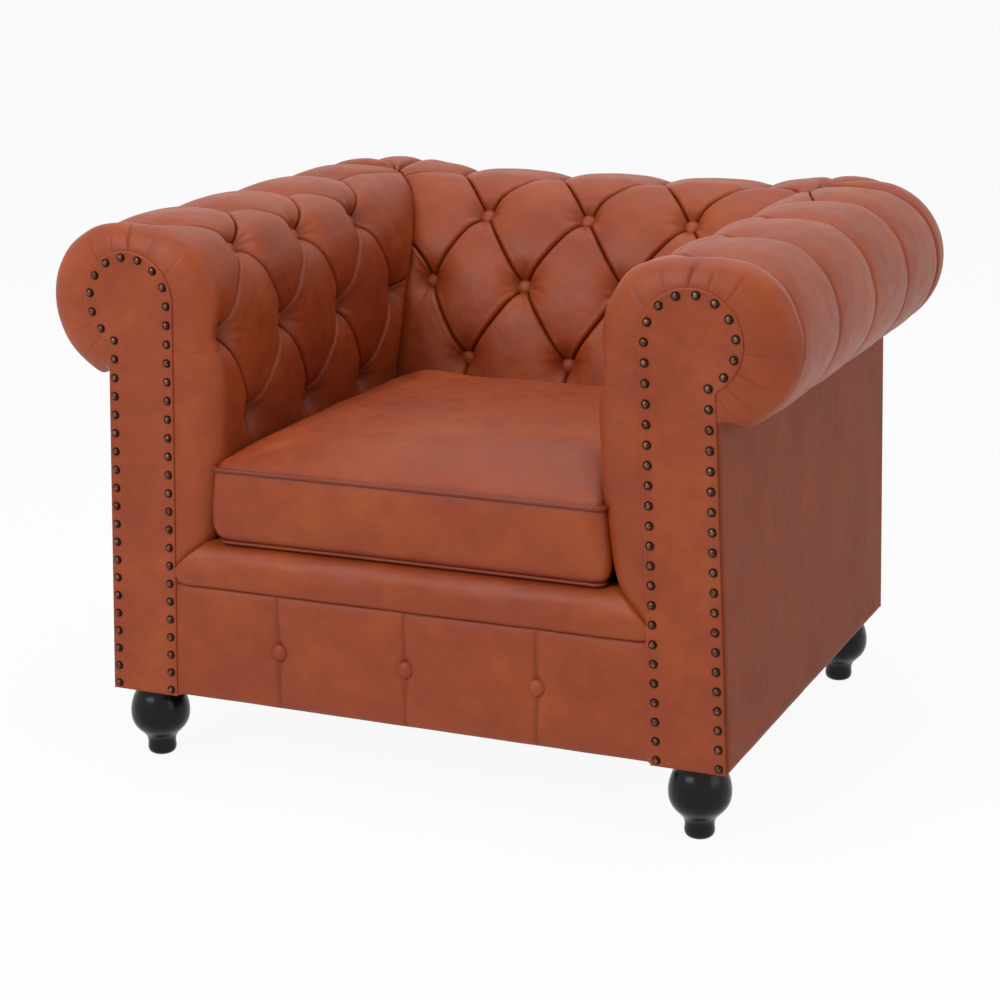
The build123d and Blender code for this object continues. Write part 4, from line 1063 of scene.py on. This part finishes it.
class CHAIR_OT_face_arms(bpy.types.Operator):
    """Flat leather facings of the arm fronts, with a turned edge"""
    bl_idname = "chair.face_arms"
    bl_label = "Face arms"

    def execute(self, context):
        clear_selection()
        points = facing_outline(0.0, 60)
        mesh = bpy.data.meshes.new("right_arm_front")
        corners = [(x * MM, FACING_Y * MM, z * MM) for x, z in points]
        mesh.from_pydata(corners, [], [list(range(len(points)))])
        piece = link_piece("right_arm_front", mesh)
        take(piece)
        bpy.ops.object.mode_set(mode="EDIT")
        bpy.ops.mesh.select_all(action="SELECT")
        bpy.ops.mesh.extrude_region_move(TRANSFORM_OT_translate={"value": (0, -0.003, 0)})
        for thick, rise in FACING_EDGE:
            bpy.ops.mesh.inset(thickness=thick, depth=rise)
        bpy.ops.mesh.select_all(action="SELECT")
        bpy.ops.mesh.normals_make_consistent(inside=False)
        bpy.ops.object.mode_set(mode="OBJECT")
        bpy.ops.object.shade_smooth_by_angle(angle=math.radians(35))
        bpy.data.objects.remove(piece)
        place_pair("arm_front", mesh, "leather", "arm_facing")
        return {"FINISHED"}


class CHAIR_OT_nail_facings(bpy.types.Operator):
    """Rows of domed bronze nails along the edges of the facings"""
    bl_idname = "chair.nail_facings"
    bl_label = "Nail facings"

    def execute(self, context):
        nail = nail_mesh(context.scene.chair_tuft.nail)
        seats = [seat_on((x, NAIL_Y, z), (0, -1, 0)) for x, z in nail_seats(NAIL_INSET, NAIL_PITCH)]
        mesh = join_copies("right_domed_nails", nail, seats)
        place_pair("domed_nails", mesh, "nail_brass", "facing_nails")
        return {"FINISHED"}


class CHAIR_OT_turn_feet(bpy.types.Operator):
    """Turned bun feet"""
    bl_idname = "chair.turn_feet"
    bl_label = "Turn feet"

    def execute(self, context):
        line = smooth_line(FOOT_PROFILE, 64)
        for name in ("front_left_foot", "front_right_foot", "rear_left_foot", "rear_right_foot"):
            low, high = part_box(name)
            cx, cy = (low[0] + high[0]) / 2, (low[1] + high[1]) / 2
            mesh = bpy.data.meshes.new(name + "_turned")
            points = [(cx, cy, line[0][1] * MM)]
            points += [(cx + r * MM, cy, z * MM) for r, z in line]
            points.append((cx, cy, line[-1][1] * MM))
            mesh.from_pydata(points, [(k, k + 1) for k in range(len(points) - 1)], [])
            piece = link_piece(name + "_turned", mesh)
            take(piece)
            bpy.ops.object.mode_set(mode="EDIT")
            bpy.ops.mesh.select_all(action="SELECT")
            bpy.ops.mesh.spin(steps=72, angle=math.tau, center=(cx, cy, 0), axis=(0, 0, 1))
            bpy.ops.mesh.select_all(action="SELECT")
            bpy.ops.mesh.remove_doubles(threshold=0.00002)
            bpy.ops.mesh.normals_make_consistent(inside=False)
            bpy.ops.object.mode_set(mode="OBJECT")
            bpy.ops.object.shade_smooth_by_angle(angle=math.radians(50))
            dress(piece, "foot_wood", [name])
        return {"FINISHED"}


# Front border: its seams and buttons, its top, its plain face and how far that swells
BORDER_SEAMS = (-187.0, 0.0, 187.0)
BORDER_BUTTON_Z = 184.0
BORDER_TOP = 266.0
BORDER_Y = -437.0
BORDER_SWELL = 9.0
BORDER_REAR = -423.0
BORDER_HALF = 344.0
# Section of the seat lip, as y and z
LIP_SECTION = (
    (-418, 264), (-436, 263.5), (-446.5, 267), (-451.5, 281), (-451, 297), (-447, 310), (-439, 319.5),
    (-428, 324.5), (-414, 326), (-404, 325.5), (-400, 318), (-400, 280), (-405, 266))


def border_front(x, z):
    """Front face of the border: panels swell between seams, buttons draw in."""
    edge = np.clip(np.minimum(z - FOOT_TOP, BORDER_TOP - z) / 40, 0, 1)
    y = BORDER_Y - BORDER_SWELL * np.sqrt(1 - (1 - edge) ** 2)
    for seam in BORDER_SEAMS:
        gap = np.abs(x - seam)
        y = y + 3.0 * np.exp(-(gap / 5) ** 2) * edge + 2.6 * np.exp(-(gap / 26) ** 2) * edge
        far = np.hypot(x - seam, (z - BORDER_BUTTON_Z))
        y = y + 5.0 * np.exp(-(far / 22) ** 2)
    return y + ripple(x * 0.6, z * 0.6, 0.7)


def border_mesh():
    """Leather of the front border, its ends flush behind the facings."""
    z = np.concatenate([[FOOT_TOP + 0.5], np.linspace(FOOT_TOP + 1, BORDER_TOP, 46)])
    near = np.array([-9, -6, -3, 0, 3, 6, 9]) / BORDER_HALF
    u = np.sort(np.concatenate(
        [np.linspace(-1, 1, 180)] + [seam / BORDER_HALF + near for seam in BORDER_SEAMS]))
    half = (arm_in(z) + 9)[:, None]
    x = half * u[None, :]
    zz = np.repeat(z[:, None], len(u), axis=1)
    y = border_front(x, zz)
    y[0] = BORDER_Y + 1
    y = y + (FRONT_Y - y) * np.clip((np.abs(x) - half + 15) / 6, 0, 1)
    # Painted shade along the seams
    gap = np.min([np.abs(x - seam) for seam in BORDER_SEAMS], axis=0)
    painted_shade = 0.55 * np.exp(-(gap / 2.2) ** 2)
    return backed_skin("front_border_leather", np.stack([x, y, zz], axis=-1), painted_shade, 1, BORDER_REAR)


def lip_mesh():
    """Soft roll along the front edge of the deck, its ends tucked in beside the facings."""
    section = smooth_line(LIP_SECTION, 72)
    y, z = section[:, :1], section[:, 1:]
    ends = np.interp(z, [264, 275, 290, 312, 326], [351, 348, 338, 314, 296])
    x = ends * np.linspace(-1, 1, 160)[None, :]
    wave = ripple(x * 0.8, z * 2, 1.0)
    tuck = 4 * np.clip((np.abs(x) - 322) / 16, 0, 1) ** 2
    rows = np.stack([x, y + (wave + tuck) * (y < -430), np.repeat(z, 160, axis=1)], axis=-1)
    return grid_mesh("seat_lip_leather", rows, np.zeros(x.shape))


class CHAIR_OT_pad_front(bpy.types.Operator):
    """Front border with its seams and the padded lip above it"""
    bl_idname = "chair.pad_front"
    bl_label = "Pad front"

    def execute(self, context):
        place_mesh("front_border_leather", border_mesh(), "leather", ["front_border"])
        place_mesh("seat_lip_leather", lip_mesh(), "leather", ["seat_lip"])
        return {"FINISHED"}


# Loose cushion: its front edge, corners, seams and highest point
CUSHION_FRONT = -443.0
CUSHION_LIMIT = -449.0
CUSHION_CORNER = 24.0
REAR_CORNER = 36.0
CUSHION_SPREAD = 17.0
LOW_SEAM = 331.0
TOP_SEAM = 430.0
CUSHION_CAP = 476.0
# Farthest that the simulation moves a point, in metres
BLOW_LIMIT = 0.009
# Rear of the cushion under the zip: its face, foot, top and half width
ZIP_Y = 94.2
ZIP_LOW = 344.0
ZIP_HIGH = 400.0
ZIP_HALF = 224.0
# Height of the cushion's rings, and how far each is drawn in from the edge
CUSHION_RINGS = (
    (327.5, 60), (327.0, 24), (328, 13), (331, 7), (337, 3), (346, 0.5), (380, -1), (406, -0.5), (424, 0),
    (430, 1), (437, 5), (443, 12), (448.5, 24), (452.5, 42), (456, 75), (458, 120), (459, 180), (459.2, 225))
# Height of each piping, how far it is drawn in and its share of the piping's radius
PIPINGS = ((329.5, 8.0, 0.65), (430.5, 1.0, 0.9))


def cushion_half(z):
    """Half width of the loose cushion at a height."""
    return float(np.interp(z, [LOW_SEAM, TOP_SEAM], [278, 271]))


def cushion_rear(z):
    """Rear edge of the loose cushion at a height: it swells over the zip."""
    return float(np.interp(z, [408, 424], [95, 106]))


def cushion_loop(half, low, high, count):
    """Square loop with rounded corners whose sides pull in a little and spread at the front."""
    points = []
    for turn, (across, along) in enumerate(((1, 1), (-1, 1), (-1, -1), (1, -1))):
        r = REAR_CORNER if along > 0 else CUSHION_CORNER
        centre = (across * (half - r), (high if along > 0 else low) - along * r)
        points += round_points(centre, r, np.linspace(turn * 90, turn * 90 + 90, 12))
    points.append(points[0])
    p = np.array(points)
    run = np.concatenate([[0], np.cumsum(np.linalg.norm(np.diff(p, axis=0), axis=1))])
    at = np.linspace(0, run[-1], count, endpoint=False)
    x, y = np.interp(at, run, p[:, 0]), np.interp(at, run, p[:, 1])
    mid = (low + high) / 2
    waist = np.clip(1 - ((y - mid) / (high - mid)) ** 2, 0, 1) * (np.abs(x) / half) ** 4
    x = x - np.sign(x) * 4 * waist
    spread = np.clip((-396 - y) / 40, 0, 1) ** 1.5
    x = x * (1 + CUSHION_SPREAD * spread / half)
    y = y + 2 * np.clip(1 - (x / half) ** 2, 0, 1) * (y < mid) * ((mid - y) / (mid - low)) ** 4
    return np.stack([x, y], axis=-1)


def cushion_form():
    """Boxed form of the cushion, ring on ring."""
    count = 200
    verts, faces = [], []
    for z, pull in CUSHION_RINGS:
        side, rear = (0.4, 0.22) if z > TOP_SEAM else (1, 1)
        loop = cushion_loop(
            cushion_half(z) - pull * side, CUSHION_FRONT + pull, cushion_rear(z) - pull * rear, count)
        verts += [(x * MM, y * MM, z * MM) for x, y in loop]
    for low in range(0, len(verts) - count, count):
        for i in range(count):
            j = (i + 1) % count
            faces.append((low + i, low + j, low + count + j, low + count + i))
    faces.append(tuple(range(count - 1, -1, -1)))
    faces.append(tuple(range(len(verts) - count, len(verts))))
    mesh = bpy.data.meshes.new("seat_cushion")
    mesh.from_pydata(verts, [], faces)
    return mesh


def blow_up(context, piece, own):
    """Blow a cushion up as cloth under pressure, held at its seams."""
    mesh = piece.data
    start = np.array([v.co[:] for v in mesh.vertices])
    group = piece.vertex_groups.new(name="seams")
    heights = start[:, 2] / MM
    held = np.flatnonzero((heights < LOW_SEAM + 3) | (np.abs(heights - TOP_SEAM) < 4))
    group.add(held.tolist(), 1.0, "REPLACE")
    cloth = piece.modifiers.new("Cloth", "CLOTH")
    cloth.settings.use_pressure = True
    cloth.settings.uniform_pressure_force = own.pressure
    cloth.settings.vertex_group_mass = "seams"
    cloth.settings.effector_weights.gravity = 0
    cloth.point_cache.frame_start = 1
    cloth.point_cache.frame_end = own.frames
    for step in range(1, own.frames + 1):
        context.scene.frame_set(step)
    shaped = piece.evaluated_get(context.evaluated_depsgraph_get())
    moved = np.array([v.co[:] for v in shaped.data.vertices]) - start
    piece.modifiers.remove(cloth)
    piece.vertex_groups.clear()
    context.scene.frame_set(1)
    far = np.linalg.norm(moved, axis=1)[:, None]
    moved *= np.minimum(1, BLOW_LIMIT / np.maximum(far, 1e-9))
    for vertex, place in zip(mesh.vertices, start + moved):
        vertex.co = place


def settle(mesh):
    """Smooth a cushion, give its top a low rise and waves, and flatten its rear under the zip."""
    work = bmesh.new()
    work.from_mesh(mesh)
    for _ in range(6):
        bmesh.ops.smooth_vert(
            work, verts=work.verts, factor=0.5, use_axis_x=True, use_axis_y=True, use_axis_z=True)
    for vertex in work.verts:
        x, y, z = vertex.co / MM
        above = z - TOP_SEAM - 2
        if above > 0:
            lift = float(np.interp(y, [-440, -300, -100, 106], [0, 6, 10, 11])) * min(1.0, above / 14)
            vertex.co.z += MM * (lift + float(ripple(np.float64(x * 0.5), np.float64(y * 0.5), 1.4)))
            vertex.co.z = min(vertex.co.z, CUSHION_CAP * MM)
        # The zip's slider runs clear of the flat rear
        under_zip = min((z - ZIP_LOW) / 6, (ZIP_HIGH - z) / 6, (ZIP_HALF - abs(x)) / 8)
        flat = ZIP_Y + 14 * (1 - min(1.0, max(0.0, under_zip)))
        vertex.co.y = min(max(vertex.co.y, CUSHION_LIMIT * MM), flat * MM)
    for face in work.faces:
        face.smooth = True
    work.to_mesh(mesh)
    work.free()


def piping_mesh(context, radius):
    """Piping round the top and bottom edges of the cushion."""
    joined = bmesh.new()
    for z, draw, share in PIPINGS:
        loop = cushion_loop(cushion_half(z) - draw, CUSHION_FRONT + draw, cushion_rear(z) - draw, 320)
        curve = bpy.data.curves.new("piping_line", "CURVE")
        curve.dimensions = "3D"
        spline = curve.splines.new("POLY")
        spline.points.add(len(loop) - 1)
        for point, (x, y) in zip(spline.points, loop):
            point.co = (x * MM, y * MM, z * MM, 1)
        spline.use_cyclic_u = True
        curve.bevel_depth = radius * share
        curve.bevel_resolution = 4
        take(link_piece("piping_line", curve))
        bpy.ops.object.convert(target="MESH")
        tube = context.object
        joined.from_mesh(tube.data)
        bpy.data.objects.remove(tube)
    bmesh.ops.recalc_face_normals(joined, faces=joined.faces)
    for face in joined.faces:
        face.smooth = True
    mesh = bpy.data.meshes.new("seat_piping")
    joined.to_mesh(mesh)
    joined.free()
    # Painted shade over all the piping, darkening it evenly
    set_painted_shade(mesh, np.full(len(mesh.vertices), 0.55))
    return mesh


class CHAIR_OT_stuff_cushion(bpy.types.Operator):
    """Loose seat cushion, blown up from a boxed form and piped along its edges"""
    bl_idname = "chair.stuff_cushion"
    bl_label = "Stuff cushion"

    def execute(self, context):
        own = context.scene.chair_seat
        nodes = ["cushion_cover", "cushion_core"]
        piece = place_mesh("seat_cushion", cushion_form(), "leather", nodes, "cushion")
        take(piece)
        piece.data.remesh_voxel_size = own.voxel
        bpy.ops.object.voxel_remesh()
        blow_up(context, piece, own)
        settle(piece.data)
        # Painted shade along the low and top seams of the cushion
        heights = np.array([v.co.z for v in piece.data.vertices]) / MM
        low = np.exp(-((heights - LOW_SEAM) / 6) ** 2)
        set_painted_shade(piece.data, 0.6 * low + 0.6 * np.exp(-((heights - TOP_SEAM) / 4.5) ** 2))
        piping = piping_mesh(context, own.piping)
        place_mesh("seat_piping", piping, "leather", ["cushion_piping"], "cushion")
        return {"FINISHED"}


class CHAIR_OT_skin_outside(bpy.types.Operator):
    """Plain leather on the outer sides of the arms and the back"""
    bl_idname = "chair.skin_outside"
    bl_label = "Skin outside"

    def execute(self, context):
        bottom = FOOT_TOP + 0.3
        z = np.linspace(bottom, PANEL_TOP + 6, 70)[:, None]
        edge = np.sort(np.concatenate(
            [np.linspace(0, 1, 110), [0.002, 0.005, 0.009, 0.991, 0.995, 0.998]]))[None, :]
        zz = np.repeat(z, edge.shape[1], axis=1)
        # The skin stands off its board, rounded at the ends and the foot
        inward = np.clip(np.minimum(edge, 1 - edge) / 0.012, 0, 1)
        low = np.clip((zz - bottom) / 6, 0, 1)
        stand = 0.4 + 2.4 * np.sqrt(1 - (1 - inward) ** 2) * np.sqrt(1 - (1 - low) ** 2)
        # Painted shade where the skin rounds over at its ends
        painted_shade = 0.25 * (1 - inward) * np.ones_like(zz)
        ends = z[[-1, 0]]
        y = SIDE_FRONT + (rear_line(z) - SIDE_FRONT) * edge
        x = side_x(zz) + stand + ripple(y * 0.55, zz * 0.22, 0.5) * inward
        outer = np.stack([x, y, zz], axis=-1)
        mesh = backed_skin("right_outside_leather", outer, painted_shade, 0, side_x(ends) + 0.1)
        place_pair("outside_leather", mesh, "leather_outside", "outside_arm_leather")
        x = (side_x(z) + 1.5) * (2 * edge - 1)
        y = rear_line(zz) + stand + ripple(x * 0.55, zz * 0.22, 0.5) * inward
        outer = np.stack([x, y, zz], axis=-1)
        mesh = backed_skin("rear_outside_leather", outer, painted_shade, 1, rear_line(ends) + 0.1)
        place_mesh("rear_outside_leather", mesh, "leather_outside", ["outside_back_leather"])
        return {"FINISHED"}


class CHAIR_OT_cover_deck(bpy.types.Operator):
    """Padded deck under the cushion and the lining cloths"""
    bl_idname = "chair.cover_deck"
    bl_label = "Cover deck"

    def execute(self, context):
        for name, fill in (("seat_deck", 0.5), ("dust_cover", None), ("spring_cloth", None)):
            (x0, y0, z0), (x1, y1, z1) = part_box(name)
            clear_selection()
            bpy.ops.mesh.primitive_cube_add(size=1)
            piece = context.object
            piece.scale = (x1 - x0, y1 - y0, z1 - z0)
            piece.location = ((x0 + x1) / 2, (y0 + y1) / 2, (z0 + z1) / 2)
            bpy.ops.object.transform_apply(location=True, rotation=True, scale=True)
            bpy.ops.object.mode_set(mode="EDIT")
            bpy.ops.mesh.select_all(action="SELECT")
            bpy.ops.mesh.subdivide(number_cuts=24)
            bpy.ops.object.mode_set(mode="OBJECT")
            for vertex in piece.data.vertices:
                x, y, z = vertex.co
                fall = min(1.0, min(x - x0, x1 - x, y - y0, y1 - y) / 0.05)
                if not fill:
                    vertex.co.z += 0.0006 * math.sin(x * 31) * math.sin(y * 23) * fall
                elif z > z1 - 0.0001:
                    vertex.co.z -= 0.006 * (1 - fall) ** 2
            bpy.ops.object.shade_smooth_by_angle(angle=math.radians(40))
            piece.name = name + "_cover"
            piece.data.name = piece.name
            dress(piece, "cloth", [name])
        return {"FINISHED"}


class CHAIR_OT_finish_frame(bpy.types.Operator):
    """Finishes of the frame, feet, nails, springs and zip"""
    bl_idname = "chair.finish_frame"
    bl_label = "Finish frame"

    def execute(self, context):
        for name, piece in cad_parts.items():
            piece.data.materials.clear()
            piece.data.materials.append(finish(finish_for(name)))
        return {"FINISHED"}


def finish_for(name):
    """Finish of a carried-over node, by its name."""
    for word, wanted in (
            ("nails", "nail_brass"), ("glides", "glide_plastic"), ("foot_bolts", "steel"),
            ("foot", "foot_wood"), ("zip_slider", "zip_metal"), ("zip", "zip_tape"), ("springs", "steel"),
            ("clips", "steel"),
            ("screws", "steel"), ("core", "foam"), ("panel", "board"), ("former", "board"),
            ("outside_arm_board", "board"), ("outside_back_board", "board"), ("cloth", "cloth"),
            ("cover", "cloth"), ("deck", "foam"), ("leather", "leather_outside"), ("pad", "leather"),
            ("buttons", "leather"), ("facing", "leather"), ("border", "leather"), ("lip", "leather"),
            ("piping", "leather")):
        if word in name:
            return wanted
    return "frame_wood"


# Lamps: name, place, aim, size and power
LAMPS = (
    ("key", (-1.4, -3.4, 2.7), (0, 0, 0.4), 2.2, 92),
    ("top", (0.1, 0.2, 3.6), (0, 0, 0.4), 3.0, 56),
    ("side", (3.4, -0.8, 1.7), (0.2, 0, 0.4), 2.2, 28))
# Camera, as fitted to the photograph: lens in millimetres, place, and yaw, pitch and roll in degrees
LENS = 86.30
EYE = (1.3088, -3.1161, 1.2251)
AIM = (23.616, 15.245, -0.619)


def background_share(tree):
    """One for rays that show the background: straight, mirrored or through glass."""
    path = node(tree, "ShaderNodeLightPath")
    share = path.outputs["Is Camera Ray"]
    for other in ("Is Glossy Ray", "Is Transmission Ray"):
        share = node(
            tree, "ShaderNodeMath", {0: share, 1: path.outputs[other]}, operation="MAXIMUM").outputs[0]
    return share


def floor_material(colour):
    """Pale floor that takes soft shadows and nearly fades into the background."""
    made = bpy.data.materials.new("Studio floor")
    made.use_nodes = True
    tree = made.node_tree
    tree.nodes.clear()
    matt = node(tree, "ShaderNodeBsdfDiffuse", {"Color": rgba(colour)})
    glow = node(tree, "ShaderNodeEmission", {"Color": (1, 1, 1, 1), "Strength": 1.0})
    seen = node(tree, "ShaderNodeMath", {0: background_share(tree), 1: 0.93}, operation="MULTIPLY")
    both = node(tree, "ShaderNodeMixShader", {
        0: seen.outputs[0], 1: matt.outputs[0], 2: glow.outputs[0]})
    node(tree, "ShaderNodeOutputMaterial", {"Surface": both.outputs[0]})
    return made


def studio_world():
    """Soft light all round, behind a white background."""
    world = bpy.data.worlds.new("Studio")
    world.use_nodes = True
    tree = world.node_tree
    tree.nodes.clear()
    soft = node(tree, "ShaderNodeBackground", {"Color": (1.0, 0.99, 0.98, 1), "Strength": 0.28})
    white = node(tree, "ShaderNodeBackground", {"Color": (1, 1, 1, 1), "Strength": 1.0})
    both = node(tree, "ShaderNodeMixShader", {
        0: background_share(tree), 1: soft.outputs[0], 2: white.outputs[0]})
    node(tree, "ShaderNodeOutputWorld", {"Surface": both.outputs[0]})
    return world


def studio_camera():
    """Camera at the photographed angle."""
    data = bpy.data.cameras.new("view")
    data.sensor_width = 36.0
    data.lens = LENS
    camera = link_piece("view", data)
    yaw, pitch, roll = (math.radians(a) for a in AIM)
    ahead = Vector((-math.sin(yaw) * math.cos(pitch), math.cos(yaw) * math.cos(pitch), -math.sin(pitch)))
    level = ahead.cross(Vector((0, 0, 1))).normalized()
    rise = level.cross(ahead)
    right = level * math.cos(roll) + rise * math.sin(roll)
    up = rise * math.cos(roll) - level * math.sin(roll)
    turn = Matrix((right, up, -ahead)).transposed()
    camera.matrix_world = Matrix.Translation(EYE) @ turn.to_4x4()
    return camera


class CHAIR_OT_set_studio(bpy.types.Operator):
    """Pale floor, soft lamps and the camera at the photographed angle"""
    bl_idname = "chair.set_studio"
    bl_label = "Set studio"

    def execute(self, context):
        scene = context.scene
        clear_selection()
        bpy.ops.mesh.primitive_plane_add(size=200, location=(0, 0, 0))
        floor = context.object
        floor.name = "studio_floor"
        floor.data.materials.append(floor_material(scene.chair_finish.floor))
        scene.world = studio_world()
        for name, place, aim, size, power in LAMPS:
            data = bpy.data.lights.new(name, "AREA")
            data.size = size
            data.energy = power
            lamp = link_piece(name, data)
            lamp.location = place
            lamp.rotation_euler = (Vector(aim) - Vector(place)).to_track_quat("-Z", "Y").to_euler()
        scene.camera = studio_camera()
        scene.view_settings.view_transform = "Standard"
        return {"FINISHED"}


STEPS = (
    CHAIR_OT_finish_frame,
    CHAIR_OT_upholster_arms,
    CHAIR_OT_upholster_back,
    CHAIR_OT_cover_buttons,
    CHAIR_OT_face_arms,
    CHAIR_OT_nail_facings,
    CHAIR_OT_turn_feet,
    CHAIR_OT_pad_front,
    CHAIR_OT_stuff_cushion,
    CHAIR_OT_skin_outside,
    CHAIR_OT_cover_deck,
    CHAIR_OT_set_studio,
)


class CHAIR_PT_steps(bpy.types.Panel):
    """Lists the steps that dress the chair"""
    bl_idname = "CHAIR_PT_steps"
    bl_label = "Tufted armchair"
    bl_space_type = "VIEW_3D"
    bl_region_type = "UI"
    bl_category = "Armchair"

    def draw(self, context):
        for step in STEPS:
            self.layout.operator(step.bl_idname)


CLASSES = (TuftSettings, SeatSettings, FinishSettings) + STEPS + (CHAIR_PT_steps,)


def register():
    """Make the settings, steps and panel known to Blender."""
    for each in CLASSES:
        bpy.utils.register_class(each)
    bpy.types.Scene.chair_tuft = PointerProperty(type=TuftSettings)
    bpy.types.Scene.chair_seat = PointerProperty(type=SeatSettings)
    bpy.types.Scene.chair_finish = PointerProperty(type=FinishSettings)


def unregister():
    """Take them away again."""
    for name in ("chair_tuft", "chair_seat", "chair_finish"):
        delattr(bpy.types.Scene, name)
    for each in reversed(CLASSES):
        bpy.utils.unregister_class(each)


def main():
    """Dress the chair."""
    register()
    clear_selection()
    bpy.ops.chair.finish_frame()
    bpy.ops.chair.upholster_arms()
    bpy.ops.chair.upholster_back()
    bpy.ops.chair.cover_buttons()
    bpy.ops.chair.face_arms()
    bpy.ops.chair.nail_facings()
    bpy.ops.chair.turn_feet()
    bpy.ops.chair.pad_front()
    bpy.ops.chair.stuff_cushion()
    bpy.ops.chair.skin_outside()
    bpy.ops.chair.cover_deck()
    bpy.ops.chair.set_studio()
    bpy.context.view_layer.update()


if __name__ == "__main__":
    main()
